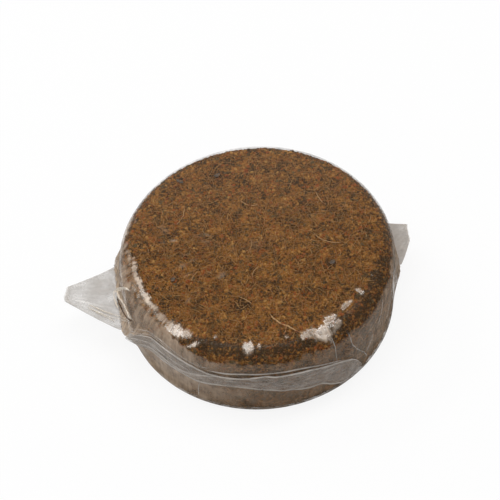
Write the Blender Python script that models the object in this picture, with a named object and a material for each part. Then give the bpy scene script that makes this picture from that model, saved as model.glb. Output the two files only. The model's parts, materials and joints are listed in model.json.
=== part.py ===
"""Coir pellet: a pressed coir disc in two webs of clear film, with a folded front seal and two film ears."""
import math

import bmesh
import bpy
from mathutils import Matrix, Vector

# Driving sizes, in metres and degrees. The base stands on z = 0 and the disc's axis is the Z axis.
CLEARANCE = 0.0003
SEGMENTS = 72
SHARP_EDGE_DEG = 35.0

COIR_DIAMETER = 0.0784
COIR_HEIGHT = 0.0256
COIR_TOP_RIM = 0.0048
COIR_BOTTOM_RIM = 0.0023
RIM_STEPS = 5
LUMP_HEIGHT = 0.0005
LUMP_PITCH = 0.0057
LUMP_SHIFT = 0.0005
LUMP_SECTORS = 6

FILM = 0.0003
SIDE_AIR_GAP = 0.0005
WALL_STEPS = 6
TOP_FLARE_CURVE = 3.0
BOTTOM_FLARE_CURVE = 2.0
EAR_HEIGHT = 0.013
FRONT_SEAL_HEIGHT = 0.0184
WELD_RISE_DEG = 14.0
FLARE_FADE_DEG = 13.0

FIN_LEFT_WIDTH = 0.0048
FIN_RIGHT_WIDTH = 0.0078
FIN_END_WIDTH = 0.0018
FIN_SWEEP_DEG = 92.0
FIN_WAVE = 0.0006
FIN_WAVE_COUNT = 4
FIN_TAPER_DEG = 10.0
FIN_COLUMNS = 46
FIN_ROWS = 4

CREASE_DIAMETER = 0.0012
CREASE_END_DIAMETER = 0.0006
CREASE_SIDES = 10
CREASE_RINGS = 8
END_WELD_WIDTH = 0.0014
EAR_PUFF = 0.0006
EAR_EDGE_CURVE = 0.86
EAR_GRID = 8

LEFT_EAR_AZIMUTH_DEG = 184.5
LEFT_EAR_STANDOFF = 0.0023
LEFT_EAR_LENGTH = 0.0156
LEFT_EAR_ROOT_BACK = 0.0097
LEFT_EAR_ROOT_FRONT = 0.0130
LEFT_EAR_TIP_WIDTH = 0.0040
LEFT_EAR_TIP_OFFSET = 0.0024

RIGHT_EAR_AZIMUTH_DEG = 10.0
RIGHT_EAR_STANDOFF = 0.0016
RIGHT_EAR_LENGTH = 0.0057
RIGHT_EAR_ROOT_BACK = 0.0081
RIGHT_EAR_ROOT_FRONT = 0.0078
RIGHT_EAR_TIP_WIDTH = 0.0046
RIGHT_EAR_TIP_OFFSET = 0.0038

STRAND_DIAMETER = 0.0004
STRAND_LENGTH = 0.0060
STRAND_STEPS = 8
CHIP_THICKNESS = 0.0004
CHIP_LENGTH = 0.0020
CHIP_WIDTH = 0.0012

# Strands: azimuth and share of the block's flat radius, then heading, share of the length, and bend.
STRANDS = (
    (-77.0, 0.86, -43.0, 1.90, 22.0),
    (-101.0, 0.57, -40.0, 0.95, -16.0),
    (-153.0, 0.60, -124.0, 0.60, 28.0),
    (-98.0, 0.28, -118.0, 0.80, 30.0),
    (-2.0, 0.60, -24.0, 1.42, 24.0),
    (96.0, 0.44, 158.0, 1.04, -34.0),
    (148.0, 0.70, 64.0, 1.20, 26.0),
    (38.0, 0.72, 118.0, 0.90, -20.0),
)
# Chips: azimuth and share of the block's flat radius, then heading and shares of the length and width.
CHIPS = (
    (110.0, 0.84, 20.0, 1.05, 1.00),
    (129.0, 0.97, -35.0, 1.30, 0.90),
    (-157.5, 0.76, 70.0, 0.80, 0.90),
    (-21.0, 0.66, 40.0, 0.95, 1.10),
)
CHIP_OUTLINE = (1.0, 0.82, 0.94, 1.0, 0.78, 0.9)

# Values that follow from the driving sizes.
LOOSE_HEIGHT = max(STRAND_DIAMETER, CHIP_THICKNESS)
COIR_RADIUS = COIR_DIAMETER / 2
COIR_BASE = FILM + CLEARANCE
COIR_TOP = COIR_BASE + COIR_HEIGHT
COIR_FLAT_RADIUS = COIR_RADIUS - COIR_TOP_RIM
FILM_CEILING = COIR_TOP + CLEARANCE + max(CLEARANCE + LOOSE_HEIGHT, LUMP_HEIGHT)
WALL_INSIDE = COIR_RADIUS + SIDE_AIR_GAP
WALL_OUTSIDE = WALL_INSIDE + FILM
CREASE_RADIUS = CREASE_DIAMETER / 2
PLY_START = CREASE_RADIUS + CLEARANCE


def clear_scene():
    for item in list(bpy.data.objects):
        bpy.data.objects.remove(item, do_unlink=True)


def finish(name, colour, roughness, alpha=1.0):
    material = bpy.data.materials.new(name)
    material.use_nodes = True
    shader = material.node_tree.nodes["Principled BSDF"]
    shader.inputs["Base Color"].default_value = (*colour, 1.0)
    shader.inputs["Roughness"].default_value = roughness
    shader.inputs["Metallic"].default_value = 0.0
    shader.inputs["Alpha"].default_value = alpha
    return material


def add_object(name, mesh, material):
    item = bpy.data.objects.new(name, mesh)
    item.data.materials.append(material)
    bpy.context.scene.collection.objects.link(item)
    return item


def add_mesh(name, build, material):
    """Makes an object from a bmesh, with smooth faces and its sharp edges kept."""
    build.normal_update()
    mesh = bpy.data.meshes.new(name)
    build.to_mesh(mesh)
    build.free()
    mesh.shade_smooth()
    mesh.set_sharp_from_angle(angle=math.radians(SHARP_EDGE_DEG))
    return add_object(name, mesh, material)


def smooth(share):
    share = min(1.0, max(0.0, share))
    return share * share * (3 - 2 * share)


class Ear:
    """The line that an ear folds about, and the outline of the ear beyond it."""

    def __init__(self, azimuth_deg, standoff, length, back, front, tip_width, tip_offset, back_sign):
        self.azimuth = math.radians(azimuth_deg)
        self.reach = WALL_OUTSIDE + standoff
        self.length = length
        self.tip_width = tip_width
        # Along the fold line, back_sign is the side that the ear's back end lies on.
        ends = sorted((back_sign * back, -back_sign * front))
        self.low_end, self.high_end = ends
        self.tip_middle = back_sign * tip_offset
        self.low_angle = self.azimuth + math.atan2(self.low_end, self.reach)
        self.high_angle = self.azimuth + math.atan2(self.high_end, self.reach)

    def flare(self, angle):
        """How far the webs stand out from the wall at the weld, at one azimuth."""
        turn = math.remainder(angle - self.azimuth, math.tau)
        fade = math.radians(FLARE_FADE_DEG)
        low = math.remainder(self.low_angle - self.azimuth, math.tau)
        high = math.remainder(self.high_angle - self.azimuth, math.tau)
        if turn < low - fade or turn > high + fade:
            return 0.0
        share = 1 - max(0.0, low - turn, turn - high) / fade
        lip = (self.reach - CREASE_RADIUS - CLEARANCE) / math.cos(turn) - FILM
        return max(0.0, lip - WALL_INSIDE) * smooth(share)

    def edge(self, share, side_end):
        """Where an edge of the ear is along the fold line, from the root at 0 to the tip at 1."""
        half = self.tip_width / 2
        tip = self.tip_middle + math.copysign(half, side_end - self.tip_middle)
        return side_end + (tip - side_end) * share ** EAR_EDGE_CURVE


LEFT_EAR = Ear(LEFT_EAR_AZIMUTH_DEG, LEFT_EAR_STANDOFF, LEFT_EAR_LENGTH, LEFT_EAR_ROOT_BACK,
               LEFT_EAR_ROOT_FRONT, LEFT_EAR_TIP_WIDTH, LEFT_EAR_TIP_OFFSET, -1)
RIGHT_EAR = Ear(RIGHT_EAR_AZIMUTH_DEG, RIGHT_EAR_STANDOFF, RIGHT_EAR_LENGTH, RIGHT_EAR_ROOT_BACK,
                RIGHT_EAR_ROOT_FRONT, RIGHT_EAR_TIP_WIDTH, RIGHT_EAR_TIP_OFFSET, 1)

# The front band starts where the left ear's flare has died away.
FIN_START = LEFT_EAR.high_angle + math.radians(FLARE_FADE_DEG)
FIN_END = FIN_START + math.radians(FIN_SWEEP_DEG)


def weld_height(angle):
    """The weld is at the ears' height, rises at the front band's left end and is down again by its right end."""
    into = (angle - FIN_START) % math.tau
    sweep = FIN_END - FIN_START
    rise = math.radians(WELD_RISE_DEG)
    if into > sweep + rise:
        into -= math.tau
    share = min(smooth((into + rise) / (2 * rise)), smooth((sweep - into) / (2 * rise)))
    return EAR_HEIGHT + (FRONT_SEAL_HEIGHT - EAR_HEIGHT) * share


def flare(angle):
    return max(LEFT_EAR.flare(angle), RIGHT_EAR.flare(angle))


def rim_arc(middle_r, middle_z, radius, up):
    """A quarter round from the flat to the wall, as radius, height and outward direction."""
    for step in range(RIM_STEPS + 1):
        turn = math.pi / 2 * step / RIM_STEPS
        out, rise = math.sin(turn), up * math.cos(turn)
        yield middle_r + radius * out, middle_z + radius * rise, out, rise


def web_profile(angle, up):
    """The web's inside from the axis to its weld. up is 1 for the top web and -1 for the bottom web."""
    coir_rim = COIR_TOP_RIM if up > 0 else COIR_BOTTOM_RIM
    rim = coir_rim + SIDE_AIR_GAP
    flat = FILM_CEILING if up > 0 else FILM
    points = [(0.0, flat, 0.0, up)]
    points += rim_arc(WALL_INSIDE - rim, flat - up * rim, rim, up)
    wall_start = flat - up * rim
    wall_end = weld_height(angle) + up * CLEARANCE / 2
    drop = abs(wall_start - wall_end)
    power = TOP_FLARE_CURVE if up > 0 else BOTTOM_FLARE_CURVE
    out = flare(angle)
    for step in range(1, WALL_STEPS + 1):
        share = step / WALL_STEPS
        slope = out * power * share ** (power - 1)
        size = math.hypot(drop, slope)
        radius = WALL_INSIDE + out * share ** power
        height = wall_start + (wall_end - wall_start) * share
        points.append((radius, height, drop / size, up * slope / size))
    return points


def turned_ring(build, angle, points, offset):
    """One profile's vertices at one azimuth, moved out along their own directions."""
    ring = []
    for radius, height, out, rise in points:
        radius += out * offset
        height += rise * offset
        ring.append(build.verts.new((radius * math.cos(angle), radius * math.sin(angle), height)))
    return ring


def film_web(name, up, material):
    """A closed skin between the web's inside and its outside, joined along the weld."""
    build = bmesh.new()
    flat = FILM_CEILING if up > 0 else FILM
    poles = [build.verts.new((0, 0, flat + up * offset)) for offset in (0.0, FILM)]
    angles = [math.tau * step / SEGMENTS for step in range(SEGMENTS)]
    inside = [turned_ring(build, a, web_profile(a, up)[1:], 0.0) for a in angles]
    outside = [turned_ring(build, a, web_profile(a, up)[1:], FILM) for a in angles]
    for step in range(SEGMENTS):
        after = (step + 1) % SEGMENTS
        for sheet, pole in ((inside, poles[0]), (outside, poles[1])):
            build.faces.new((pole, sheet[step][0], sheet[after][0]))
            for k in range(len(sheet[step]) - 1):
                build.faces.new((sheet[step][k], sheet[step][k + 1], sheet[after][k + 1], sheet[after][k]))
        build.faces.new((inside[step][-1], outside[step][-1], outside[after][-1], inside[after][-1]))
    bmesh.ops.recalc_face_normals(build, faces=build.faces)
    return add_mesh(name, build, material)


def strand_route(spec):
    """A strand's line on the block's top, about its own middle and before it is turned to its heading."""
    _, _, _, length_share, bend_deg = spec
    step_length = STRAND_LENGTH * length_share / STRAND_STEPS
    route = [Vector((0, 0, 0))]
    for step in range(STRAND_STEPS):
        turn = math.radians(bend_deg) * ((2 * step + 1) / STRAND_STEPS - 1)
        route.append(route[-1] + Vector((math.cos(turn), math.sin(turn), 0)) * step_length)
    middle = route[STRAND_STEPS // 2].copy()
    return [spot - middle for spot in route]


def loose_spots():
    """Where the strands and the chips lie, as points on the block's top."""
    spots = []
    for spec in STRANDS:
        turn = Matrix.Rotation(math.radians(spec[2]), 3, "Z")
        spots += [top_place(spec[0], spec[1], 0) + turn @ spot for spot in strand_route(spec)]
    for spec in CHIPS:
        turn = Matrix.Rotation(math.radians(spec[2]), 3, "Z")
        half = Vector((CHIP_LENGTH * spec[3] / 2, 0, 0))
        spots += [top_place(spec[0], spec[1], 0) + turn @ (half * side) for side in (-1, 0, 1)]
    return spots


def join_rings(build, inner, outer):
    """Triangles between two rings of vertices that start at the same azimuth, whatever their counts."""
    near, far = 0, 0
    while near < len(inner) or far < len(outer):
        within, beyond = inner[near % len(inner)], outer[far % len(outer)]
        if (far + 1) * len(inner) <= (near + 1) * len(outer):
            far += 1
            build.faces.new((within, beyond, outer[far % len(outer)]))
        else:
            near += 1
            build.faces.new((within, beyond, inner[near % len(inner)]))


def lumpy_top(build, edge):
    """The block's top inside its edge: low lumps of pith, level where a strand or a chip lies."""
    ring_count = round(2 * COIR_FLAT_RADIUS / LUMP_PITCH)
    stride = COIR_FLAT_RADIUS / ring_count
    keep_off = 1.3 * stride + LUMP_SHIFT
    loose = loose_spots()
    middle = build.verts.new((0, 0, COIR_HEIGHT))
    inner = None
    for ring in range(1, ring_count):
        verts = []
        places = LUMP_SECTORS * ring
        for place in range(places):
            angle = math.tau * place / places
            spot = Vector((math.cos(angle), math.sin(angle), 0)) * stride * ring
            # A lump stands on every second vertex of every second ring, a little off its place.
            if ring % 2 == 0 and place % 2 == 0:
                spot += Vector((math.cos(5.1 * place), math.sin(3.7 * place), 0)) * LUMP_SHIFT
                if all((spot - other).length > keep_off for other in loose):
                    spot.z = LUMP_HEIGHT * (0.75 + 0.25 * math.sin(2.3 * ring + 1.7 * place))
            verts.append(build.verts.new(spot + Vector((0, 0, COIR_HEIGHT))))
        if inner is None:
            for place in range(places):
                build.faces.new((middle, verts[place], verts[(place + 1) % places]))
        else:
            join_rings(build, inner, verts)
        inner = verts
    join_rings(build, inner, edge)


def coir_disc(material):
    """The pressed block, a turned outline round the axis, with its own base at its origin."""
    build = bmesh.new()
    outline = list(rim_arc(COIR_FLAT_RADIUS, COIR_HEIGHT - COIR_TOP_RIM, COIR_TOP_RIM, 1))
    low = list(rim_arc(COIR_RADIUS - COIR_BOTTOM_RIM, COIR_BOTTOM_RIM, COIR_BOTTOM_RIM, -1))
    outline += reversed(low)
    rings = [turned_ring(build, math.tau * step / SEGMENTS, outline, 0.0) for step in range(SEGMENTS)]
    lumpy_top(build, [ring[0] for ring in rings])
    base = build.verts.new((0, 0, 0))
    for step in range(SEGMENTS):
        after = (step + 1) % SEGMENTS
        build.faces.new((base, rings[step][-1], rings[after][-1]))
        for k in range(len(outline) - 1):
            build.faces.new((rings[step][k], rings[step][k + 1], rings[after][k + 1], rings[after][k]))
    bmesh.ops.recalc_face_normals(build, faces=build.faces)
    item = add_mesh("coir_disc", build, material)
    item.location.z = COIR_BASE
    return item


def plate(name, columns, rows, place, material):
    """A closed sheet. place(u, v) gives its low and high points for u and v from 0 to 1."""
    build = bmesh.new()
    low, high = [], []
    for i in range(columns + 1):
        pairs = [place(i / columns, j / rows) for j in range(rows + 1)]
        low.append([build.verts.new(pair[0]) for pair in pairs])
        high.append([build.verts.new(pair[1]) for pair in pairs])
    for i in range(columns):
        for j in range(rows):
            for sheet in (low, high):
                build.faces.new((sheet[i][j], sheet[i + 1][j], sheet[i + 1][j + 1], sheet[i][j + 1]))
        for j in (0, rows):
            build.faces.new((low[i][j], low[i + 1][j], high[i + 1][j], high[i][j]))
    for j in range(rows):
        for i in (0, columns):
            build.faces.new((low[i][j], low[i][j + 1], high[i][j + 1], high[i][j]))
    bmesh.ops.recalc_face_normals(build, faces=build.faces)
    return add_mesh(name, build, material)


def front_seal_fin(material):
    """The welded margin, two plies thick, hanging from the weld against the front wall."""
    inner = WALL_OUTSIDE + CLEARANCE
    outer = inner + 2 * FILM
    taper = math.radians(FIN_TAPER_DEG)
    sweep = FIN_END - FIN_START

    def place(u, v):
        angle = FIN_START + sweep * u
        from_end = min(u, 1 - u) * sweep
        full = smooth(from_end / taper)
        broad = FIN_LEFT_WIDTH + (FIN_RIGHT_WIDTH - FIN_LEFT_WIDTH) * smooth(u)
        width = FIN_END_WIDTH + (broad - FIN_END_WIDTH) * full
        wave = FIN_WAVE * math.sin(FIN_WAVE_COUNT * math.tau * u) * full
        height = weld_height(angle) - (width + wave) * v
        across = Vector((math.cos(angle), math.sin(angle), 0))
        return across * inner + Vector((0, 0, height)), across * outer + Vector((0, 0, height))

    return plate("front_seal_fin", FIN_COLUMNS, FIN_ROWS, place, material)


def ear_hinge(name, ear):
    """An empty on the fold line: its X axis points out along the ear and its Y axis lies on the fold."""
    hinge = bpy.data.objects.new(name, None)
    hinge.location = (ear.reach * math.cos(ear.azimuth), ear.reach * math.sin(ear.azimuth), EAR_HEIGHT)
    hinge.rotation_euler.z = ear.azimuth
    bpy.context.scene.collection.objects.link(hinge)
    return hinge


def ear_sheet(name, ear, hinge, start, end, low_face, high_face, material):
    """A stretch of an ear between two distances from the fold line, its faces at heights that may swell."""
    def place(u, v):
        out = start + (end - start) * u
        share = out / ear.length
        low = ear.edge(share, ear.low_end)
        high = ear.edge(share, ear.high_end)
        along = low + (high - low) * v
        swell = math.sin(math.pi * u) * math.sin(math.pi * v)
        return Vector((out, along, low_face(swell))), Vector((out, along, high_face(swell)))

    sheet = plate(name, EAR_GRID, EAR_GRID, place, material)
    sheet.parent = hinge
    return sheet


def make_ear(side, ear, film):
    """The crease on the fold line, the two plies beyond it and the weld across the tip."""
    hinge = ear_hinge(side + "_ear_hinge", ear)
    half_gap = CLEARANCE / 2
    weld_start = ear.length - END_WELD_WIDTH
    ply_end = weld_start - CLEARANCE
    ear_sheet(side + "_ear_upper_ply", ear, hinge, PLY_START, ply_end,
              lambda swell: half_gap + EAR_PUFF * swell,
              lambda swell: half_gap + EAR_PUFF * swell + FILM, film)
    ear_sheet(side + "_ear_lower_ply", ear, hinge, PLY_START, ply_end,
              lambda swell: -half_gap - EAR_PUFF * swell - FILM,
              lambda swell: -half_gap - EAR_PUFF * swell, film)
    ear_sheet(side + "_ear_end_weld", ear, hinge, weld_start, ear.length,
              lambda swell: -FILM, lambda swell: FILM, film)
    ear_crease(side + "_ear_crease", ear, hinge, film)


def ear_crease(name, ear, hinge, material):
    """A slim spindle of gathered film on the fold line, thinner at its ends."""
    build = bmesh.new()
    length = ear.high_end - ear.low_end
    rings = []
    for step in range(CREASE_RINGS + 1):
        share = step / CREASE_RINGS
        thick = CREASE_END_DIAMETER + (CREASE_DIAMETER - CREASE_END_DIAMETER) * math.sin(math.pi * share)
        along = (share - 0.5) * length
        ring = []
        for side in range(CREASE_SIDES):
            turn = math.tau * side / CREASE_SIDES
            ring.append(build.verts.new((thick / 2 * math.cos(turn), along, thick / 2 * math.sin(turn))))
        rings.append(ring)
    for ring, after in zip(rings, rings[1:]):
        for side in range(CREASE_SIDES):
            beside = (side + 1) % CREASE_SIDES
            build.faces.new((ring[side], ring[beside], after[beside], after[side]))
    build.faces.new(rings[0])
    build.faces.new(rings[-1])
    bmesh.ops.recalc_face_normals(build, faces=build.faces)
    bead = add_mesh(name, build, material)
    bead.parent = hinge
    bead.location.y = (ear.low_end + ear.high_end) / 2
    return bead


def top_place(azimuth_deg, share, height):
    """A point over the block's flat top."""
    azimuth = math.radians(azimuth_deg)
    radius = share * COIR_FLAT_RADIUS
    return Vector((radius * math.cos(azimuth), radius * math.sin(azimuth), height))


def coir_strand(name, spec, material):
    """A loose fibre: a fine tube along a bent line on the block's top, with its origin at its middle."""
    azimuth_deg, share, heading_deg, _, _ = spec
    curve = bpy.data.curves.new(name, "CURVE")
    curve.dimensions = "3D"
    curve.bevel_depth = STRAND_DIAMETER / 2
    curve.bevel_resolution = 1
    curve.use_fill_caps = True
    line = curve.splines.new("POLY")
    line.points.add(STRAND_STEPS)
    for point, spot in zip(line.points, strand_route(spec)):
        point.co = (*spot, 1)
    strand = add_object(name, curve, material)
    strand.location = top_place(azimuth_deg, share, COIR_TOP + CLEARANCE + STRAND_DIAMETER / 2)
    strand.rotation_euler.z = math.radians(heading_deg)
    return strand


def husk_chip(name, spec, material):
    """A loose flat flake with an uneven six-sided outline."""
    azimuth_deg, share, heading_deg, length_share, width_share = spec
    build = bmesh.new()
    outline = []
    for side, reach in enumerate(CHIP_OUTLINE):
        turn = math.tau * side / len(CHIP_OUTLINE)
        long_way = reach * CHIP_LENGTH * length_share / 2 * math.cos(turn)
        cross_way = reach * CHIP_WIDTH * width_share / 2 * math.sin(turn)
        outline.append(build.verts.new((long_way, cross_way, 0)))
    base = build.faces.new(outline)
    raised = bmesh.ops.extrude_face_region(build, geom=[base])
    upper = [vert for vert in raised["geom"] if isinstance(vert, bmesh.types.BMVert)]
    bmesh.ops.translate(build, verts=upper, vec=(0, 0, CHIP_THICKNESS))
    bmesh.ops.recalc_face_normals(build, faces=build.faces)
    chip = add_mesh(name, build, material)
    chip.location = top_place(azimuth_deg, share, COIR_TOP + CLEARANCE)
    chip.rotation_euler.z = math.radians(heading_deg)
    return chip


def main():
    clear_scene()
    coir_disc(finish("pressed_coir", (0.17, 0.08, 0.03), 0.95))
    film_web("top_film", 1, finish("top_web", (0.9, 0.9, 0.88), 0.12, 0.3))
    film_web("bottom_film", -1, finish("bottom_web", (0.88, 0.88, 0.86), 0.16, 0.3))
    front_seal_fin(finish("welded_margin", (0.8, 0.79, 0.77), 0.25, 0.55))
    make_ear("left", LEFT_EAR, finish("left_ear_film", (0.85, 0.85, 0.83), 0.2, 0.45))
    make_ear("right", RIGHT_EAR, finish("right_ear_film", (0.83, 0.83, 0.81), 0.2, 0.45))
    for number, spec in enumerate(STRANDS, 1):
        coir_strand(f"coir_strand_{number}", spec, finish(f"fibre_{number}", (0.55, 0.34, 0.16), 0.7))
    for number, spec in enumerate(CHIPS, 1):
        husk_chip(f"husk_chip_{number}", spec, finish(f"husk_{number}", (0.09, 0.05, 0.03), 0.85))


main()
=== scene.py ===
"""Looks of the coir pellet: a pressed coir disc with loose crumbs and fibres, in two webs of clear film."""

import json
import math
from contextlib import contextmanager

import bpy
import numpy as np
from bpy.props import FloatProperty, FloatVectorProperty, IntProperty, PointerProperty
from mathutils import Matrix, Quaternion, Vector, noise


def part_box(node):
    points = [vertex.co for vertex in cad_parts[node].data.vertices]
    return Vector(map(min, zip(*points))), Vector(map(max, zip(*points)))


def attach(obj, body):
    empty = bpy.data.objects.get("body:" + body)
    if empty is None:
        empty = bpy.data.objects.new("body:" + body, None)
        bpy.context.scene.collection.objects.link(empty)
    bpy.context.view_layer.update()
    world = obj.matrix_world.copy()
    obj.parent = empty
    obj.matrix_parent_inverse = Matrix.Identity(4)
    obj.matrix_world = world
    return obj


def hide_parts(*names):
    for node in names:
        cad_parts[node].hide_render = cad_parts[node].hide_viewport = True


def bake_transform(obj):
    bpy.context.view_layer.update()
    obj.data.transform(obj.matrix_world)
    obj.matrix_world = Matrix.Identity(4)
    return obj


bl_info = {
    "name": "Coir Pellet",
    "version": (1, 0, 0),
    "blender": (4, 5, 0),
    "location": "View3D > Sidebar > Coir Pellet",
    "description": "Models a film-wrapped coir pellet round its packed frame",
    "category": "Object",
}

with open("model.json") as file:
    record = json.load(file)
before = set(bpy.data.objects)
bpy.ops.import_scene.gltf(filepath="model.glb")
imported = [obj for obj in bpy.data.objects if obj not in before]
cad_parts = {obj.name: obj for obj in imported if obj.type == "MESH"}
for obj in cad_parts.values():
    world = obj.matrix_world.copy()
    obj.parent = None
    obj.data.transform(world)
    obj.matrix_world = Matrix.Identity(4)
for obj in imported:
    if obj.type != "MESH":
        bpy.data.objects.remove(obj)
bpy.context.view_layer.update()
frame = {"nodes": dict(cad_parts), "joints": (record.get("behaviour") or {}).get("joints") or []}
MM = 0.001
UP = (0.0, 0.0, 1.0)


def node_points(node):
    """The vertices of one of the frame's solids."""
    return np.array([vertex.co for vertex in frame["nodes"][node].data.vertices])


# The block, measured on the frame, with a layer of crumbs on it.
BLOCK_LOW, BLOCK_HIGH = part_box("coir_disc")
CRUMB_LAYER = 0.45 * MM
BLOCK_RADIUS = BLOCK_HIGH.x + CRUMB_LAYER * 0.7
BLOCK_BASE = BLOCK_LOW.z - CRUMB_LAYER
TOP_RIM = 4.8 * MM
BOTTOM_RIM = 2.2 * MM
FLAT_RADIUS = BLOCK_RADIUS - TOP_RIM
SOLID_POINTS = node_points("coir_disc")
SOLID_FLAT = SOLID_POINTS[(np.hypot(SOLID_POINTS[:, 0], SOLID_POINTS[:, 1]) < FLAT_RADIUS)
                          & (SOLID_POINTS[:, 2] > BLOCK_HIGH.z / 2)]
SOLID_TOP = float(SOLID_FLAT[:, 2].min())
BLOCK_TOP = SOLID_TOP + CRUMB_LAYER
SOLID_LUMPS = SOLID_FLAT[SOLID_FLAT[:, 2] > SOLID_TOP + 0.02 * MM]
LUMP_REACH = 2.9 * MM
LUMP_GROUND = 0.28 * MM

# Layers of relief on the block: name, kind, size of the lumps, and share of the lump height.
BLOCK_RELIEF = (
    ("Pith Lumps", "CLOUDS", 3.2 * MM, 0.5),
    ("Pith Clods", "CLOUDS", 1.3 * MM, 0.9),
    ("Pith Grains", "STUCCI", 0.7 * MM, 0.35),
)

# The wrapper, measured on the frame. Its patterns are laid out as if it were unrolled at one radius.
FILM_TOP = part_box("top_film")[1].z - 0.08 * MM
WALL_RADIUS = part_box("top_film")[1].y
FILM_RIM = WALL_RADIUS - FLAT_RADIUS
FILM_BASE = 0.05 * MM
BOTTOM_FILM_RIM = 2.0 * MM
WALL_TOP = FILM_TOP - FILM_RIM
RIM_ARC = FILM_RIM * math.pi / 2
UNROLLED = 40 * MM
RIM_UNROLLED = 38 * MM

# The share of a web's rows on its flat and of its skin on each rim, and how the walls lean out to the ears.
FLAT_ROWS = 0.3
TOP_RIM_SHARE = 0.5
BOTTOM_RIM_SHARE = 0.28
TOP_LEAN = 1.6
BOTTOM_LEAN = 1.4
FLARE_FADE = math.radians(18.0)
LIP_SHORT = 0.4 * MM

# Where the film leaves the block and turns hazy, and how ragged that line is.
LIFT_HEIGHT = 24.3 * MM
LIFT_RAGGED = 1.1 * MM

# The ears: how far a ply reaches in past its fold, and the width of its end weld.
PLY_INSIDE = 0.7 * MM
END_WELD = 1.4 * MM

# Sections of a ridge of film and of a fibre, as shares of half the width and of the height.
RIDGE = np.array(((-1.0, -0.1), (-0.62, 0.30), (-0.28, 0.85), (0.0, 1.0), (0.28, 0.85), (0.62, 0.30),
                  (1.0, -0.1), (0.0, -0.25)))
FIBRE_SECTION = np.array(((-0.87, -0.5), (0.87, -0.5), (0.0, 1.0)))

# Colours that a user has no need to change.
# FILM_SHADE is the dark colour that the film's haze turns to where shade is painted on it.
FILM_SHADE = (0.085, 0.066, 0.052)
MIRROR_TINT = (1.0, 0.965, 0.92, 1)
WHITE = (1, 1, 1, 1)

# The pith group's colour inputs, and the properties that they come from.
PITH_TONES = {"Dark": "pith_dark", "Middle": "pith", "Light": "pith_light", "Red": "pith_red",
              "Grey": "pith_grey"}

# Strands: azimuth and share of the flat radius, then heading, length in mm, and bend.
STRANDS = (
    (-77.0, 0.86, -43.0, 11.4, 22.0),
    (-101.0, 0.57, -40.0, 5.7, -16.0),
    (-153.0, 0.60, -124.0, 3.6, 28.0),
    (-98.0, 0.28, -118.0, 4.8, 30.0),
    (-2.0, 0.60, -24.0, 8.5, 24.0),
    (96.0, 0.44, 158.0, 6.2, -34.0),
    (148.0, 0.70, 64.0, 7.2, 26.0),
    (38.0, 0.72, 118.0, 5.4, -20.0),
)
# Chips: azimuth and share of the flat radius, then heading, length and width in mm.
CHIPS = (
    (110.0, 0.84, 20.0, 2.1, 1.2),
    (129.0, 0.97, -35.0, 2.6, 1.1),
    (-157.5, 0.76, 70.0, 1.6, 1.1),
    (-21.0, 0.66, 40.0, 1.9, 1.3),
)

# The front band's edges: azimuth in degrees and height in mm.
BAND_ROOT = ((-152, 16.6), (-146, 19.8), (-138, 20.6), (-130, 20.1), (-121, 18.9), (-116, 18.0),
             (-112, 17.6), (-104, 17.7), (-99, 18.0), (-94, 18.7), (-90, 19.1), (-86, 18.3), (-80, 18.2),
             (-76, 18.0), (-72, 17.7), (-68, 16.8), (-64, 16.0), (-60, 15.0), (-56, 13.6), (-52, 11.6),
             (-49, 8.8), (-46.5, 5.4))
BAND_EDGE = ((-152, 12.4), (-145, 13.2), (-136, 13.2), (-127, 12.9), (-118, 12.2), (-110, 13.2),
             (-104, 13.7), (-99, 13.7), (-94, 13.0), (-88, 12.0), (-84, 11.0), (-80, 10.7), (-77, 9.9),
             (-72, 9.1), (-68, 8.9), (-66, 8.1), (-63, 6.2), (-60, 4.8), (-56, 3.6), (-46.5, 3.0))

# Creases on the wall: azimuth and height of each point, then the ridge's width, height (mm) and haze.
WALL_CREASES = (
    (((-116, 18.7), (-110, 18.9), (-105, 19.2), (-99, 19.8), (-93, 19.8), (-88, 19.8), (-82, 19.6),
      (-77, 19.4), (-72, 18.6), (-68, 17.6), (-64, 16.5), (-60, 15.3), (-56.5, 13.9)), 0.40, 0.30, 0.60),
    (((-159, 7.4), (-154, 11.4), (-148, 13.9), (-145, 15.1), (-136, 15.2), (-130, 14.6), (-125, 14.4),
      (-118, 15.6), (-114, 16.7), (-109, 17.2)), 0.40, 0.28, 0.6),
    (((-156, 13.0), (-150, 16.6), (-143, 17.4), (-136, 17.4), (-128, 16.8), (-121, 16.0)), 0.28, 0.20, 0.4),
    (((-156, 14.2), (-150, 18.2), (-144, 20.6), (-137, 21.2), (-131, 20.3), (-124, 19.2)), 0.28, 0.20, 0.35),
    (((-155, 15.4), (-147, 20.6), (-137, 22.6), (-130, 21.4), (-124, 20.2), (-117, 19.4), (-112, 20.4)),
     0.28, 0.20, 0.35),
    (((-160, 9.6), (-153, 12.2), (-147, 13.2), (-140, 13.3)), 0.30, 0.22, 0.45),
    (((-118.0, 12.6), (-118.8, 9.4), (-119.4, 6.4), (-119.6, 3.6)), 0.30, 0.20, 0.5),
    (((-60.6, 26.0), (-60.4, 23.6), (-59.9, 18.6), (-59.6, 15.6)), 0.26, 0.22, 0.7),
    (((-53.2, 25.2), (-52.5, 22.4), (-51.4, 18.4), (-49.6, 15.4), (-46.6, 11.5), (-44, 8.4), (-42, 4.8)),
     0.30, 0.22, 0.55),
    (((-38, 13.5), (-40.5, 10.6), (-43, 8.2)), 0.28, 0.20, 0.45),
    (((-30, 23.2), (-31, 19.0), (-34, 14.0)), 0.28, 0.20, 0.35),
    (((-16, 19.6), (-20, 14.0), (-27, 9.0)), 0.30, 0.20, 0.35),
    (((20, 13.0), (38, 13.1), (55, 13.2), (72, 12.9), (92, 13.1), (112, 12.9), (132, 13.1), (150, 13.0),
      (168, 13.0)), 0.6, 0.22, 0.4),
)

# How far the strands and the chips lie above their solids, to clear the crumbs.
STRAND_RAISE = 0.30 * MM
CHIP_RAISE = 0.40 * MM
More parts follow.
